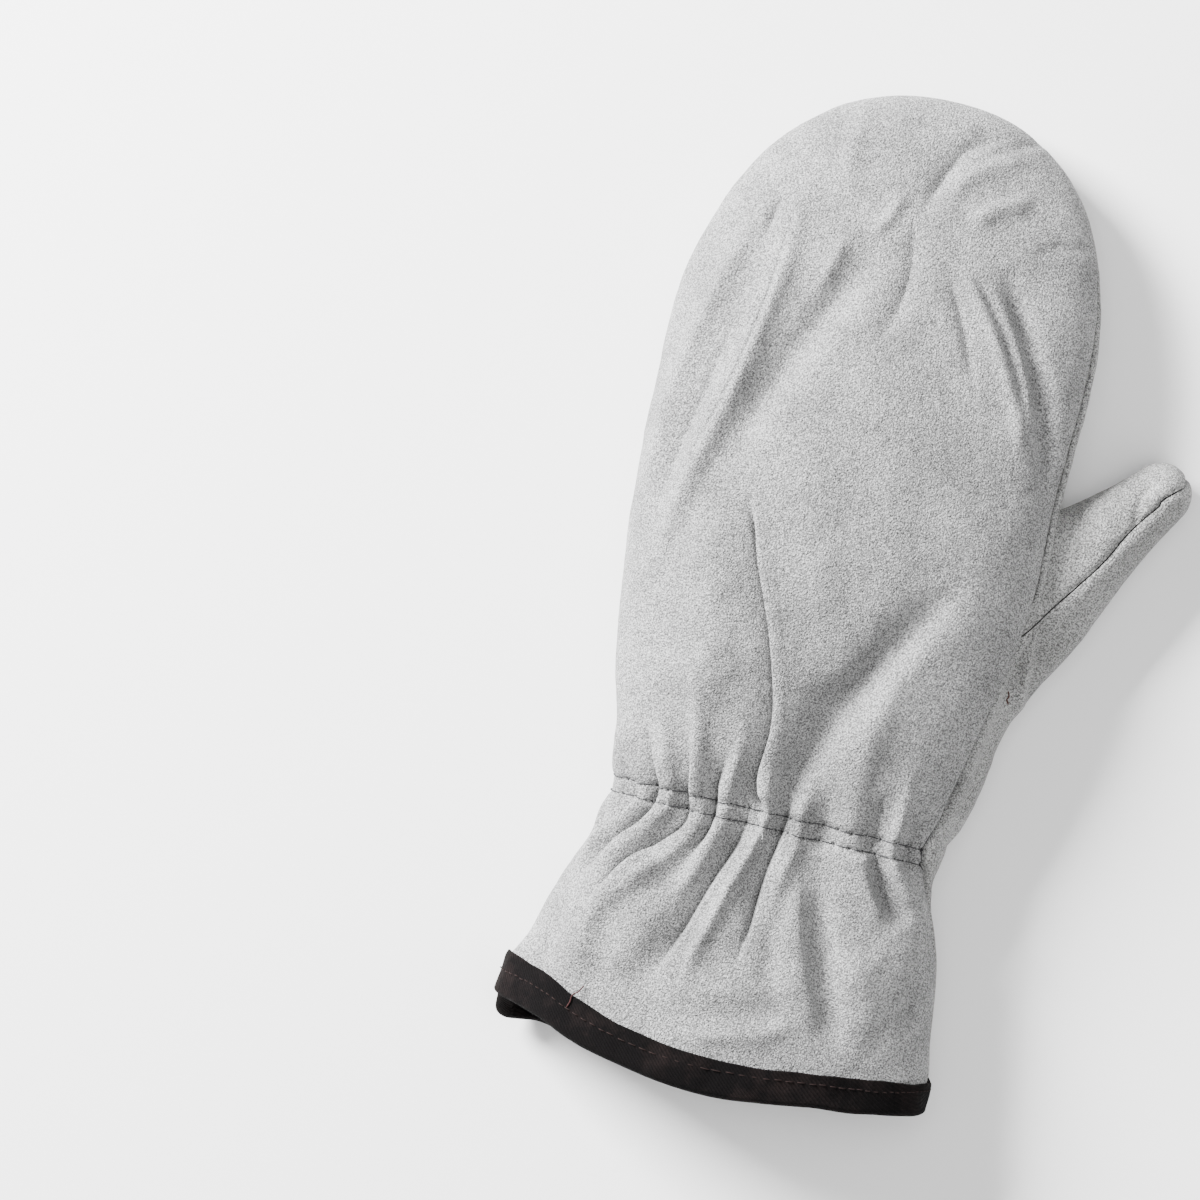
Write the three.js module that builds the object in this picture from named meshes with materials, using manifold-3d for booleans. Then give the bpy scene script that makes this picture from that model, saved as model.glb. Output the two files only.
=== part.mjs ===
// A leather work mitt for the left hand, lying palm down. Units are millimetres. +Z is up, out of the back of
// the hand, +Y runs from the cuff to the fingertips and +X points to the thumb. The five pieces are those
// that such a mitt is sewn from, each a wall of leather or tape, with a narrow gap where the real pieces meet
// in a turned seam. While it is made, y is 0 at the side of the hem. At the end the mitt is moved so that the
// origin is on the flat of the palm, where it rests.

import * as THREE from "three";
import { mergeVertices } from "three/addons/utils/BufferGeometryUtils.js";
import Module from "manifold-3d";

const wasm = await Module();
wasm.setup();

// Sizes of the hand of the mitt
const MITT_LENGTH = 284; // from the side of the hem to the fingertips
const PALM_WIDTH = 124; // across the fingers
const WRIST_WIDTH = 97; // where the elastic draws the back in
const CUFF_WIDTH = 134; // across the hem
const CUFF_HEIGHT = 40;
const WRIST_HEIGHT = 37;
const PALM_HEIGHT = 45; // over the ball of the thumb
const FINGER_HEIGHT = 35;
const RIM = 0.43; // the widest level of a section, as a share of its height
const PALM_SQUARENESS = 2.5; // exponent of the palm's half of a section, squarer than the back's
const PALM_PRESS = 1.3; // how deep the palm's curve would reach if the floor didn't flatten it, in rims
const ELASTIC_AT = 69; // the elastic's distance from the side of the hem
const ELASTIC_SINK = 1.6; // how far its stitching draws the leather in
const ELASTIC_BAND = 3;
const GATHERED_TO = 110; // beyond this the gathers have run out into the long folds

// Sizes of the rounded end
const TIP_LENGTH = 84;
const TIP_SQUARENESS = 2.3; // exponent of the end's outline, where 2 is an ellipse
const TIP_CLOSING = 2.7; // exponent of the way the heights close
const TIP_LEVEL = 12.5; // height of the seam at the fingertips

// Sizes of the thumb
const THUMB_WIDTH = 31;
const THUMB_HEIGHT = 23.5;
const THUMB_TIP = 9; // length of its rounded end
const THUMB_ROUND = 2.2;
const THUMB_SEAM_LEVEL = 16;

// Leather, seams and tape
const WALL = 1.8;
const SEAM_GAP = 0.4;
const CROSS_SEAM_AT = 42; // the seam across the palm, from the side of the hem
const BINDING_WIDTH = 10;
const BINDING_THICKNESS = 1;
const BINDING_CLEARANCE = 0.35;
const INNER_CLEARANCE = 0.7; // more inside, where the leather is drawn with fewer faces

// The inside follows the outside's folds, deeper in valleys and lower in ridges, so the wall stays whole.
const INNER_FOLDS = { valley: 1.25, ridge: 0.75 };

// How finely the surfaces are divided
const BACK_STEPS = 37;
const PALM_STEPS = 13;
const THUMB_STEPS = 16;
const INNER_THUMB_STEPS = 12;
const TIP_STEPS = 8;
const OUTER_SPACING = { gathered: 5, plain: 10 };
const INNER_SPACING = { gathered: 10, plain: 20 };
const SEAM_SPACING = 9;
const MERGE = 0.001; // points closer than this are one
const FAR = 400; // beyond the mitt on every side

const HALF_PALM = PALM_WIDTH / 2;
const REST_AT = { x: -12, y: 148 }; // the point of the palm that becomes the origin

// Sections of the hand. at is a share of the length. shift moves the middle, as a share of the width. left
// and right are the heights of the two seams of the back, as shares of height. round is the exponent of the
// back's curve.
const SECTIONS = table("at width shift height left right round", [
  [-0.08, CUFF_WIDTH, -0.016, CUFF_HEIGHT, 0.42, 0.45, 2.1],
  [0, CUFF_WIDTH * 0.98, -0.014, CUFF_HEIGHT, 0.42, 0.46, 2.1],
  [0.06, CUFF_WIDTH * 0.91, 0.001, CUFF_HEIGHT, 0.42, 0.47, 2.2],
  [0.14, CUFF_WIDTH * 0.835, 0.018, WRIST_HEIGHT * 1.06, 0.42, 0.48, 2.3],
  [0.2, WRIST_WIDTH * 1.01, 0.025, WRIST_HEIGHT, 0.42, 0.54, 2.4],
  [0.243, WRIST_WIDTH, 0.034, WRIST_HEIGHT, 0.42, 0.74, 2.5],
  [0.29, WRIST_WIDTH * 1.03, 0.026, WRIST_HEIGHT * 1.05, 0.41, 0.64, 2.4],
  [0.37, PALM_WIDTH * 0.89, 0.018, PALM_HEIGHT * 0.95, 0.4, 0.62, 2.3],
  [0.5, PALM_WIDTH * 0.972, 0.023, PALM_HEIGHT, 0.4, 0.58, 2.3],
  [0.62, PALM_WIDTH * 0.99, 0.014, PALM_HEIGHT * 0.97, 0.4, 0.58, 2.3],
  [0.75, PALM_WIDTH * 0.998, 0.02, FINGER_HEIGHT * 1.12, 0.4, 0.57, 2.3],
  [0.88, PALM_WIDTH * 0.995, 0.036, FINGER_HEIGHT, 0.42, 0.5, 2.2],
  [1, PALM_WIDTH * 0.985, 0.056, FINGER_HEIGHT * 0.9, 0.42, 0.43, 2.1],
]);

// The hem's reach past its side, in cuff widths, by the turn round the cuff: 0 is the thumb side, 0.25 the
// back, 0.5 the little-finger side and 0.75 the palm.
const HEM = table("turn reach", [
  [0, -0.02],
  [0.05, -0.032],
  [0.1, -0.042],
  [0.16, -0.055],
  [0.22, -0.076],
  [0.26, -0.077],
  [0.31, -0.056],
  [0.36, -0.024],
  [0.4, 0.004],
  [0.46, 0.026],
  [0.5, 0.026],
  [0.55, -0.02],
  [0.62, -0.022],
  [0.68, -0.036],
  [0.75, -0.073],
  [0.8, -0.066],
  [0.86, -0.034],
  [0.93, -0.012],
  [1, -0.02],
]);
const HEM_FADES_OVER = 32;
const HEM_LIFT = BINDING_THICKNESS + BINDING_CLEARANCE; // the tape lies between the leather and the floor

// Gathers of the back at the elastic. at is a share of half the wrist. up and down are how far each ridge
// runs past the elastic, and lean_up and lean_down how far it drifts sideways on the way, all in wrist
// widths. rise is its height and wide its half width, in walls.
const GATHERS = table("at up lean_up down lean_down rise wide", [
  [-0.93, 0.22, -0.06, 0.2, -0.08, 0.8, 1.2],
  [-0.79, 0.25, -0.12, 0.38, -0.19, 1.1, 1.3],
  [-0.65, 0.27, -0.12, 0.28, -0.2, 1.1, 1.3],
  [-0.48, 0.42, -0.14, 0.42, -0.22, 1.3, 1.6],
  [-0.33, 0.27, 0.01, 0.22, -0.07, 1, 1.4],
  [-0.13, 0.27, 0, 0.52, -0.11, 1.3, 1.7],
  [0.1, 0.28, 0.02, 0.5, -0.05, 1, 1.6],
  [0.43, 0.5, -0.01, 0.35, 0.05, 1.3, 2.4],
  [0.73, 0.3, -0.01, 0.18, 0.13, 1, 1.8],
]);

// Folds. Each runs from x0, y0 to x1, y1, with x in half palm widths and y in lengths. bow moves its middle
// sideways, in half palm widths. rise is its height, negative for a valley, and left and right the half
// widths of its two flanks, all in walls.
const BACK_FOLDS = table("x0 y0 x1 y1 bow rise left right", [
  // the deep crease up from the wrist, its sharp side to the thumb, and the swells beside it
  [-0.1, 0.25, -0.47, 0.585, 0.09, -1.8, 3.6, 1.7],
  [-0.03, 0.27, -0.4, 0.58, 0.09, 0.8, 1.6, 3.4],
  [-0.37, 0.29, -0.54, 0.53, 0, 1, 5, 4],
  // the slope beside the ball of the thumb
  [0.2, 0.24, 0.5, 0.56, -0.09, -1.6, 4.4, 3.4],
  [0.36, 0.27, 0.62, 0.56, -0.07, 1, 3, 4.4],
  // long lines over the fingers
  [-0.76, 0.45, -0.47, 0.88, 0.08, 1.4, 2.2, 3],
  [-0.87, 0.5, -0.6, 0.87, -0.09, 1, 2.2, 2.2],
  [-0.53, 0.58, -0.06, 0.86, -0.03, -1.2, 2.8, 2],
  [0.08, 0.885, 0.5, 0.975, 0.05, -1, 1.4, 2.6],
  [0.29, 0.84, 0.8, 0.65, 0.05, 0.9, 1.9, 1.4],
  [0.5, 0.85, 0.94, 0.6, 0.1, -1.5, 2.8, 2.6],
  // the cuff below the elastic
  [-0.45, 0.235, -0.73, 0.145, 0, -1.1, 1.5, 1.5],
  [-0.5, 0.17, -0.52, 0.03, 0, 1.2, 4.5, 4.5],
  [-0.16, 0.235, -0.39, 0.05, 0.02, -1.8, 1.8, 2],
  [0.03, 0.22, -0.03, 0.07, 0.02, -1.1, 1.8, 1.5],
  [0.21, 0.22, 0.46, 0.03, -0.02, -1.9, 1.5, 3.4],
  [0.5, 0.235, 0.77, 0.165, -0.05, -1.1, 2.2, 2.4],
  [0.64, 0.16, 0.76, 0.04, 0, 0.9, 4, 4],
]);
const PALM_FOLDS = table("x0 y0 x1 y1 bow rise left right", [
  // under the index finger
  [0.42, 0.83, 0.92, 0.62, 0.13, -1.3, 2.6, 2.2],
  [0.05, 0.82, 0.1, 0.62, -0.04, -0.9, 2.4, 2.4],
  // at the crotch of the thumb
  [0.48, 0.62, 0.5, 0.54, 0, -1.2, 1.8, 1.8],
  // little-finger side
  [-0.95, 0.48, -0.66, 0.43, 0.02, -1.4, 1.8, 1.8],
  [-0.9, 0.42, -0.6, 0.36, 0.02, -1.2, 1.8, 1.8],
  [-0.2, 0.33, -0.5, 0.22, 0, -1, 2, 2],
  // heel of the thumb
  [0.55, 0.4, 0.42, 0.2, 0.05, -1.2, 3, 3],
]);

// Sections of the thumb, from inside the wrist to its tip. x is in half palm widths and y in lengths. turn is
// the section's turn from square across the mitt, in degrees. outer and inner are the half widths to either
// side, in thumb widths, and top its height in thumb heights.
const THUMB_SECTIONS = table("x y turn outer inner top", [
  [0.54, 0.225, 0, 0.45, 0.3, 0.95],
  [0.57, 0.28, 3, 0.63, 0.42, 0.98],
  [0.61, 0.345, 6, 0.69, 0.55, 1],
  [0.66, 0.415, 14, 0.76, 0.61, 1.03],
  [0.76, 0.479, 26, 0.82, 0.64, 1.03],
  [0.935, 0.535, 38, 0.775, 0.58, 1.02],
  [1.17, 0.577, 46, 0.51, 0.48, 1],
  [1.345, 0.623, 41, 0.36, 0.36, 0.92],
  [1.465, 0.657, 36, 0.3, 0.3, 0.82],
]);
const THUMB_LEVEL = 0.47; // the widest level of the thumb, as a share of its top

// The seam between the palm and the thumb panel, from the hem to beyond the thumb's tip: where it runs on the
// floor side, and where on the upper side, in half palm widths and lengths.
const THUMB_SEAM = table("x y topX topY", [
  [0.31, -0.3, 0.31, -0.3],
  [0.29, 0.02, 0.29, 0.02],
  [0.21, 0.08, 0.21, 0.08],
  [0.16, 0.15, 0.16, 0.15],
  [0.135, 0.23, 0.135, 0.23],
  [0.13, 0.29, 0.15, 0.29],
  [0.15, 0.34, 0.25, 0.34],
  [0.19, 0.39, 0.42, 0.38],
  [0.25, 0.445, 0.7, 0.43],
  [0.34, 0.497, 0.9, 0.467],
  [0.42, 0.526, 1, 0.49],
  [0.53, 0.545, 1.08, 0.516],
  [0.73, 0.572, 1.16, 0.54],
  [0.97, 0.603, 1.27, 0.575],
  [1.21, 0.634, 1.355, 0.61],
  [1.4, 0.662, 1.455, 0.64],
  [1.55, 0.69, 1.6, 0.674],
  [2.6, 0.85, 2.6, 0.84],
]);

// A table's rows, with their columns named.
function table(columns, rows) {
  const names = columns.split(" ");
  return rows.map((row) => Object.fromEntries(names.map((name, index) => [name, row[index]])));
}

function mix(from, to, share) {
  return from + (to - from) * share;
}

function smooth(value) {
  const share = Math.min(1, Math.max(0, value));
  return share * share * (3 - 2 * share);
}

function power(value, exponent) {
  return Math.sign(value) * Math.abs(value) ** exponent;
}

// A column of a table at a place between its rows, along a smooth curve through them.
function lookup(rows, key, place, column) {
  const last = rows.length - 1;
  if (place <= rows[0][key]) return rows[0][column];
  if (place >= rows[last][key]) return rows[last][column];
  let row = 0;
  while (rows[row + 1][key] < place) row += 1;
  const slope = (from, to) => (rows[to][column] - rows[from][column]) / (rows[to][key] - rows[from][key]);
  const start = rows[row][key];
  const span = rows[row + 1][key] - start;
  const startSlope = slope(Math.max(0, row - 1), row + 1) * span;
  const endSlope = slope(row, Math.min(last, row + 2)) * span;
  const t = (place - start) / span;
  const from = rows[row][column];
  const to = rows[row + 1][column];
  const bend = (2 * t ** 3 - 3 * t ** 2 + 1) * from + (t ** 3 - 2 * t ** 2 + t) * startSlope;
  return bend + (3 * t ** 2 - 2 * t ** 3) * to + (t ** 3 - t ** 2) * endSlope;
}

// The height of one fold at a point in plan. open folds begin at full height.
function fold(x, y, line, open) {
  const dx = line.x1 - line.x0;
  const dy = line.y1 - line.y0;
  const length = Math.hypot(dx, dy);
  const t = ((x - line.x0) * dx + (y - line.y0) * dy) / length ** 2;
  if (t < -0.2 || t > 1.2) return 0;
  const within = Math.min(1, Math.max(0, t));
  const side = ((x - line.x0) * dy - (y - line.y0) * dx) / length - line.bow * 4 * within * (1 - within);
  const half = side < 0 ? line.left : line.right;
  const start = open ? smooth((t + 0.06) / 0.06) : smooth((t + 0.1) / 0.25);
  const end = open ? smooth((1.05 - t) / 0.9) : smooth((1.1 - t) / 0.25);
  return line.rise * start * end * Math.exp(-((side / half) ** 2));
}

function foldLine(row) {
  return {
    x0: row.x0 * HALF_PALM,
    y0: row.y0 * MITT_LENGTH,
    x1: row.x1 * HALF_PALM,
    y1: row.y1 * MITT_LENGTH,
    bow: row.bow * HALF_PALM,
    rise: row.rise * WALL,
    left: row.left * WALL,
    right: row.right * WALL,
  };
}

// The two arms of a gather, up towards the fingers and down towards the hem.
function gatherLines(row) {
  const middle = lookup(SECTIONS, "at", ELASTIC_AT / MITT_LENGTH, "shift") * WRIST_WIDTH;
  const x0 = middle + (row.at * WRIST_WIDTH) / 2;
  const wide = row.wide * WALL;
  const shared = { x0, y0: ELASTIC_AT, bow: 0, rise: row.rise * WALL, left: wide, right: wide };
  return [
    { ...shared, x1: x0 + row.lean_up * WRIST_WIDTH, y1: ELASTIC_AT + row.up * WRIST_WIDTH },
    { ...shared, x1: x0 + row.lean_down * WRIST_WIDTH, y1: ELASTIC_AT - row.down * WRIST_WIDTH },
  ];
}

const BACK_LINES = BACK_FOLDS.map(foldLine);
const PALM_LINES = PALM_FOLDS.map(foldLine);
const GATHER_LINES = GATHERS.flatMap(gatherLines);

function backRelief(x, y) {
  const folds = BACK_LINES.reduce((sum, line) => sum + fold(x, y, line, false), 0);
  const gathers = GATHER_LINES.reduce((sum, line) => sum + fold(x, y, line, true), 0);
  return folds + gathers - ELASTIC_SINK * Math.exp(-(((y - ELASTIC_AT) / ELASTIC_BAND) ** 2));
}

function palmRelief(x, y) {
  return PALM_LINES.reduce((sum, line) => sum + fold(x, y, line, false), 0);
}

// One section of the hand: its middle, half width, top and seams, already closed towards the fingertips.
function section(y) {
  const at = y / MITT_LENGTH;
  const column = (name) => lookup(SECTIONS, "at", at, name);
  const end = Math.min(1, Math.max(0, (y - MITT_LENGTH + TIP_LENGTH) / TIP_LENGTH));
  const narrow = (1 - end ** TIP_SQUARENESS) ** (1 / TIP_SQUARENESS);
  const close = (1 - end ** TIP_CLOSING) ** (1 / TIP_CLOSING);
  const height = column("height");
  const level = (share) => mix(TIP_LEVEL, share * height, close);
  return {
    middle: column("shift") * column("width"),
    half: (column("width") / 2) * narrow,
    top: level(1),
    rim: level(RIM),
    bottom: level(RIM * (1 - PALM_PRESS)),
    left: level(column("left")),
    right: level(column("right")),
    round: column("round"),
  };
}

// A point of the hand's surface. turn goes round from the thumb side over the back. inset moves it in.
function handPoint(turn, reach, inset) {
  const hemReach = lookup(HEM, "turn", turn, "reach") * CUFF_WIDTH;
  const flat = Math.max(reach, BINDING_WIDTH);
  const hemShare = 1 - smooth((flat - BINDING_WIDTH) / HEM_FADES_OVER);
  const y = flat + hemReach * hemShare;
  const shape = section(y);
  const angle = turn * Math.PI * 2;
  const upper = turn <= 0.5;
  const exponent = 2 / (upper ? shape.round : PALM_SQUARENESS);
  const depth = upper ? shape.top - shape.rim : shape.rim - shape.bottom;
  const half = Math.max(0.05, shape.half - inset);
  const across = power(Math.cos(angle), exponent);
  const up = power(Math.sin(angle), exponent);
  const lift = HEM_LIFT * (1 - smooth((reach - BINDING_WIDTH) / BINDING_WIDTH));
  const baseX = shape.middle + shape.half * across;
  const folds = upper ? backRelief(baseX, y) * smooth((up + 0.05) / 0.35) : palmRelief(baseX, y);
  const relief = folds * (inset <= 0 ? 1 : INNER_FOLDS[folds < 0 ? "valley" : "ridge"]);
  const steep = Math.atan2(up, across * 0.7);
  const x = shape.middle + half * across + (upper ? relief * Math.cos(steep) : 0);
  const z = shape.rim + Math.max(0.05, depth - inset) * up;
  const shaped = upper ? z + relief * Math.sin(steep) : Math.max(z, lift + inset) - relief;
  return [x, y + Math.min(0, reach - BINDING_WIDTH), Math.max(shaped, lift + inset)];
}

// A point of the thumb's surface, before its floor side is flattened. place counts rows of THUMB_SECTIONS.
function thumbPoint(turn, place, inset) {
  const rows = THUMB_SECTIONS.map((row, number) => ({ ...row, number }));
  const column = (name) => lookup(rows, "number", place, name);
  const last = rows.length - 1;
  const end = Math.max(0, place - last);
  const narrow = Math.sqrt(Math.max(0, 1 - end ** 2));
  const heading = (column("turn") * Math.PI) / 180;
  const forward = end * (THUMB_TIP - inset);
  const angle = turn * Math.PI * 2;
  const across = power(Math.cos(angle), 2 / THUMB_ROUND);
  const half = (column(across > 0 ? "outer" : "inner") * THUMB_WIDTH - inset) * narrow;
  const level = THUMB_LEVEL * THUMB_HEIGHT * column("top");
  const depth = turn <= 0.5 ? column("top") * THUMB_HEIGHT - level - inset : level * PALM_PRESS - inset;
  const x = column("x") * HALF_PALM + half * across * Math.cos(heading) + forward * Math.sin(heading);
  const y = column("y") * MITT_LENGTH - half * across * Math.sin(heading) + forward * Math.cos(heading);
  const z = level + depth * narrow * power(Math.sin(angle), 2 / THUMB_ROUND);
  return [x, y, Math.max(z, inset) - (turn <= 0.5 ? 0 : palmRelief(x, y))];
}

function middleOf(points) {
  return [0, 1, 2].map((axis) => points.reduce((sum, point) => sum + point[axis], 0) / points.length);
}

// The solid that a closed geometry encloses.
function solid(geometry) {
  const bare = new THREE.BufferGeometry();
  bare.setAttribute("position", geometry.getAttribute("position"));
  bare.setIndex(geometry.getIndex());
  const merged = mergeVertices(bare, MERGE);
  const mesh = new wasm.Mesh({
    numProp: 3,
    vertProperties: merged.getAttribute("position").array,
    triVerts: new Uint32Array(merged.getIndex().array),
  });
  return new wasm.Manifold(mesh);
}

function geometryOf(points, triangles) {
  const geometry = new THREE.BufferGeometry();
  geometry.setAttribute("position", new THREE.Float32BufferAttribute(points.flat(), 3));
  geometry.setIndex(triangles.flat());
  return geometry;
}

// Two triangles between each pair of neighbours on two rings of equally many points.
function band(here, beyond, count) {
  return Array.from({ length: count }, (_, step) => {
    const next = (step + 1) % count;
    return [here + step, beyond + step, beyond + next, here + step, beyond + next, here + next];
  });
}

// A closed geometry through a row of rings, with a fan over each end.
function ringGeometry(rings) {
  const count = rings[0].length;
  const first = rings.length * count;
  const last = rings.length - 1;
  const points = [...rings.flat(), middleOf(rings[0]), middleOf(rings[last])];
  const sides = rings.slice(1).flatMap((_, index) => band(index * count, (index + 1) * count, count));
  const ends = rings[0].flatMap((_, step) => {
    const next = (step + 1) % count;
    return [first, step, next, first + 1, last * count + next, last * count + step];
  });
  return geometryOf(points, [...sides, ends]);
}

function turns(backSteps, palmSteps) {
  const back = Array.from({ length: backSteps }, (_, step) => (0.5 * step) / backSteps);
  const palm = Array.from({ length: palmSteps }, (_, step) => 0.5 + (0.5 * step) / palmSteps);
  return [...back, ...palm];
}

// Distances from the hem at which the hand is sectioned, closer together where it is gathered.
function stations(spacing, inset) {
  const straight = MITT_LENGTH - TIP_LENGTH;
  const sink = 1.5 * ELASTIC_BAND;
  const stops = [BINDING_WIDTH, ELASTIC_AT - sink, ELASTIC_AT, ELASTIC_AT + sink, GATHERED_TO, straight];
  const between = stops.slice(1).flatMap((end, index) => {
    const start = stops[index];
    const gap = end > GATHERED_TO ? spacing.plain : spacing.gathered;
    const steps = Math.max(1, Math.round((end - start) / gap));
    return Array.from({ length: steps }, (_, step) => mix(start, end, (step + 1) / steps));
  });
  const end = Array.from({ length: TIP_STEPS - 1 }, (_, step) => {
    const angle = ((step + 1) / TIP_STEPS) * (Math.PI / 2);
    return straight + (TIP_LENGTH - inset) * Math.sin(angle) ** (2 / TIP_SQUARENESS);
  });
  return [0, BINDING_WIDTH, ...between, ...end];
}

function handRings(list, inset) {
  const around = turns(BACK_STEPS, PALM_STEPS);
  return list.map((reach) => around.map((turn) => handPoint(turn, reach, inset)));
}

function thumbSolid(count, inset) {
  const last = THUMB_SECTIONS.length - 1;
  const body = Array.from({ length: 2 * last + 1 }, (_, step) => step / 2);
  const places = [...body, last + 0.4, last + 0.7, last + 0.88, last + 0.97];
  const around = Array.from({ length: count }, (_, step) => step / count);
  return solid(ringGeometry(places.map((place) => around.map((turn) => thumbPoint(turn, place, inset)))));
}

// How far from the middle a section reaches at a height.
function halfAt(shape, height) {
  const upper = height > shape.rim;
  const exponent = upper ? shape.round : PALM_SQUARENESS;
  const depth = upper ? shape.top - shape.rim : shape.rim - shape.bottom;
  const share = Math.min(1, Math.abs(height - shape.rim) / Math.max(depth, MERGE));
  return shape.half * (1 - share ** exponent) ** (1 / exponent);
}

// Everything above the two side seams of the back, moved up by lift. It is bounded by two slopes that start
// low in the middle of the hand and cross the leather squarely at the seams.
function aboveBackSeam(lift) {
  const rings = [];
  for (let y = -8 * SEAM_SPACING; y <= MITT_LENGTH + 8 * SEAM_SPACING; y += SEAM_SPACING) {
    const shape = section(y);
    const low = mix(shape.bottom, shape.rim, 0.5);
    const slope = (side, height) => {
      const half = Math.max(halfAt(shape, height), WALL);
      const length = Math.hypot(half, height - low);
      const rise = (height - low) / length;
      const run = half / length;
      const across = (reach) => shape.middle + side * (run * reach - lift * rise);
      const at = (reach) => [across(reach), y, low + rise * reach + lift * run];
      return [at(length + 2 * WALL), at(FAR)];
    };
    const [rightEdge, rightEnd] = slope(1, shape.right);
    const [leftEdge, leftEnd] = slope(-1, shape.left);
    const above = [[FAR, y, 2 * FAR], [-FAR, y, 2 * FAR]];
    rings.push([rightEdge, rightEnd, ...above, leftEnd, leftEdge, [shape.middle, y, low + lift]]);
  }
  return solid(ringGeometry(rings));
}

// A point of the seam between palm and thumb panel at a height, moved by away to the thumb's side. place
// counts rows of THUMB_SEAM.
function thumbSeamPoint(place, height, away) {
  const rows = THUMB_SEAM.map((row, number) => ({ ...row, number }));
  const share = Math.min(1, Math.max(0, height / THUMB_SEAM_LEVEL));
  const at = (where, column) => lookup(rows, "number", where, column);
  const across = (where) => mix(at(where, "x"), at(where, "topX"), share) * HALF_PALM;
  const along = (where) => mix(at(where, "y"), at(where, "topY"), share) * MITT_LENGTH;
  const dx = across(place + 0.2) - across(place - 0.2);
  const dy = along(place + 0.2) - along(place - 0.2);
  const length = Math.hypot(dx, dy);
  return [across(place) + (away * dy) / length, along(place) - (away * dx) / length, height];
}

// Everything to the thumb's side of that seam. Its two ends are fans from the far corner.
function thumbSide(away) {
  const count = 2 * (THUMB_SEAM.length - 1) + 1;
  const levels = [-1, 0, 0.25, 0.5, 0.75, 1, 2.5].map((share) => share * THUMB_SEAM_LEVEL);
  const rings = levels.map((height) => [
    ...Array.from({ length: count }, (_, step) => thumbSeamPoint(step / 2, height, away)),
    [FAR, -FAR, height],
  ]);
  const size = count + 1;
  const top = (levels.length - 1) * size;
  const sides = levels.slice(1).flatMap((_, index) => band(index * size, (index + 1) * size, size));
  const ends = Array.from({ length: count - 1 }, (_, step) => [
    count, step, step + 1, top + count, top + step + 1, top + step,
  ]);
  return solid(geometryOf(rings.flat(), [...sides, ...ends]));
}

// The tape: a folded strip round the hem, over the outside, the edge and the inside of the leather.
function binding() {
  const around = turns(BACK_STEPS, PALM_STEPS);
  const out = BINDING_CLEARANCE + BINDING_THICKNESS;
  const within = WALL + INNER_CLEARANCE;
  const ringAt = (reach, inset, slip) =>
    around.map((turn) => {
      const [x, y, z] = handPoint(turn, reach, inset);
      return [x, y + slip, z];
    });
  const upper = BINDING_WIDTH - BINDING_CLEARANCE;
  const profile = [
    ringAt(upper, -BINDING_CLEARANCE, 0),
    ringAt(upper, -out, 0),
    ringAt(0, -out, -BINDING_CLEARANCE),
    ringAt(0, (WALL - out) / 2, -out),
    ringAt(0, within + BINDING_THICKNESS, -BINDING_CLEARANCE),
    ringAt(upper, within + BINDING_THICKNESS, 0),
    ringAt(upper, within, 0),
    ringAt(0, within, -BINDING_CLEARANCE),
    ringAt(0, -BINDING_CLEARANCE, -BINDING_CLEARANCE),
  ];
  const count = around.length;
  const faces = profile.flatMap((_, row) => band(((row + 1) % profile.length) * count, row * count, count));
  return solid(geometryOf(profile.flat(), faces));
}

// Everything between two distances from the side of the hem.
function slab(from, to) {
  const box = new THREE.BoxGeometry(2 * FAR, to - from, 2 * FAR);
  return solid(box.translate(0, (from + to) / 2, 0));
}

const hemFace = handRings([0], 3 * WALL);
const outside = solid(ringGeometry([...hemFace, ...handRings(stations(OUTER_SPACING, 0), 0)]));
const inside = solid(ringGeometry(handRings([-BINDING_WIDTH, ...stations(INNER_SPACING, WALL)], WALL)));
const filled = outside.add(thumbSolid(THUMB_STEPS, 0));
const shell = filled.subtract(inside.add(thumbSolid(INNER_THUMB_STEPS, WALL)));

const halfGap = SEAM_GAP / 2;
const back = shell.intersect(aboveBackSeam(halfGap));
const lower = shell.subtract(aboveBackSeam(-halfGap));
const thumb = lower.intersect(thumbSide(halfGap));
const palmSide = lower.subtract(thumbSide(-halfGap));
const palm = palmSide.intersect(slab(CROSS_SEAM_AT + halfGap, FAR));
const palmCuff = palmSide.intersect(slab(-FAR, CROSS_SEAM_AT - halfGap));

const LEATHER = { color: 0xb9b8b6, roughness: 0.95 };
const TAPE = { color: 0x2a2020, roughness: 0.9 };

function piece(name, shape, finish) {
  const made = shape.getMesh();
  const geometry = new THREE.BufferGeometry();
  geometry.setAttribute("position", new THREE.BufferAttribute(made.vertProperties, 3));
  geometry.setIndex(new THREE.BufferAttribute(made.triVerts, 1));
  const mesh = new THREE.Mesh(geometry, new THREE.MeshStandardMaterial(finish));
  mesh.name = name;
  return mesh;
}

const pieces = new THREE.Group();
pieces.position.set(-REST_AT.x, -REST_AT.y, 0);
pieces.add(
  piece("back_panel", back, LEATHER),
  piece("palm_panel", palm, LEATHER),
  piece("palm_cuff_panel", palmCuff, LEATHER),
  piece("thumb_panel", thumb, LEATHER),
  piece("cuff_binding", binding(), TAPE),
);

const mitt = new THREE.Group();
mitt.name = "leather_work_mitt";
mitt.add(pieces);

export default mitt;
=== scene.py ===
"""The looks of a left-hand leather work mitt, lying palm down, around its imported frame.

The five CAD pieces are replaced by dense ones on the same sections, sewn from suede: the back with its
gathers and folds, the palm, the palm's cuff, the thumb panel and the folded tape round the hem. Lengths are
millimetres in the mitt's own frame, where y is 0 at the side of the hem, until a mesh is made in metres in
the frame of the part.
"""

import math
from types import SimpleNamespace

import bmesh
import bpy
import numpy as np
from mathutils import Euler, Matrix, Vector
from mathutils.kdtree import KDTree


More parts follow.
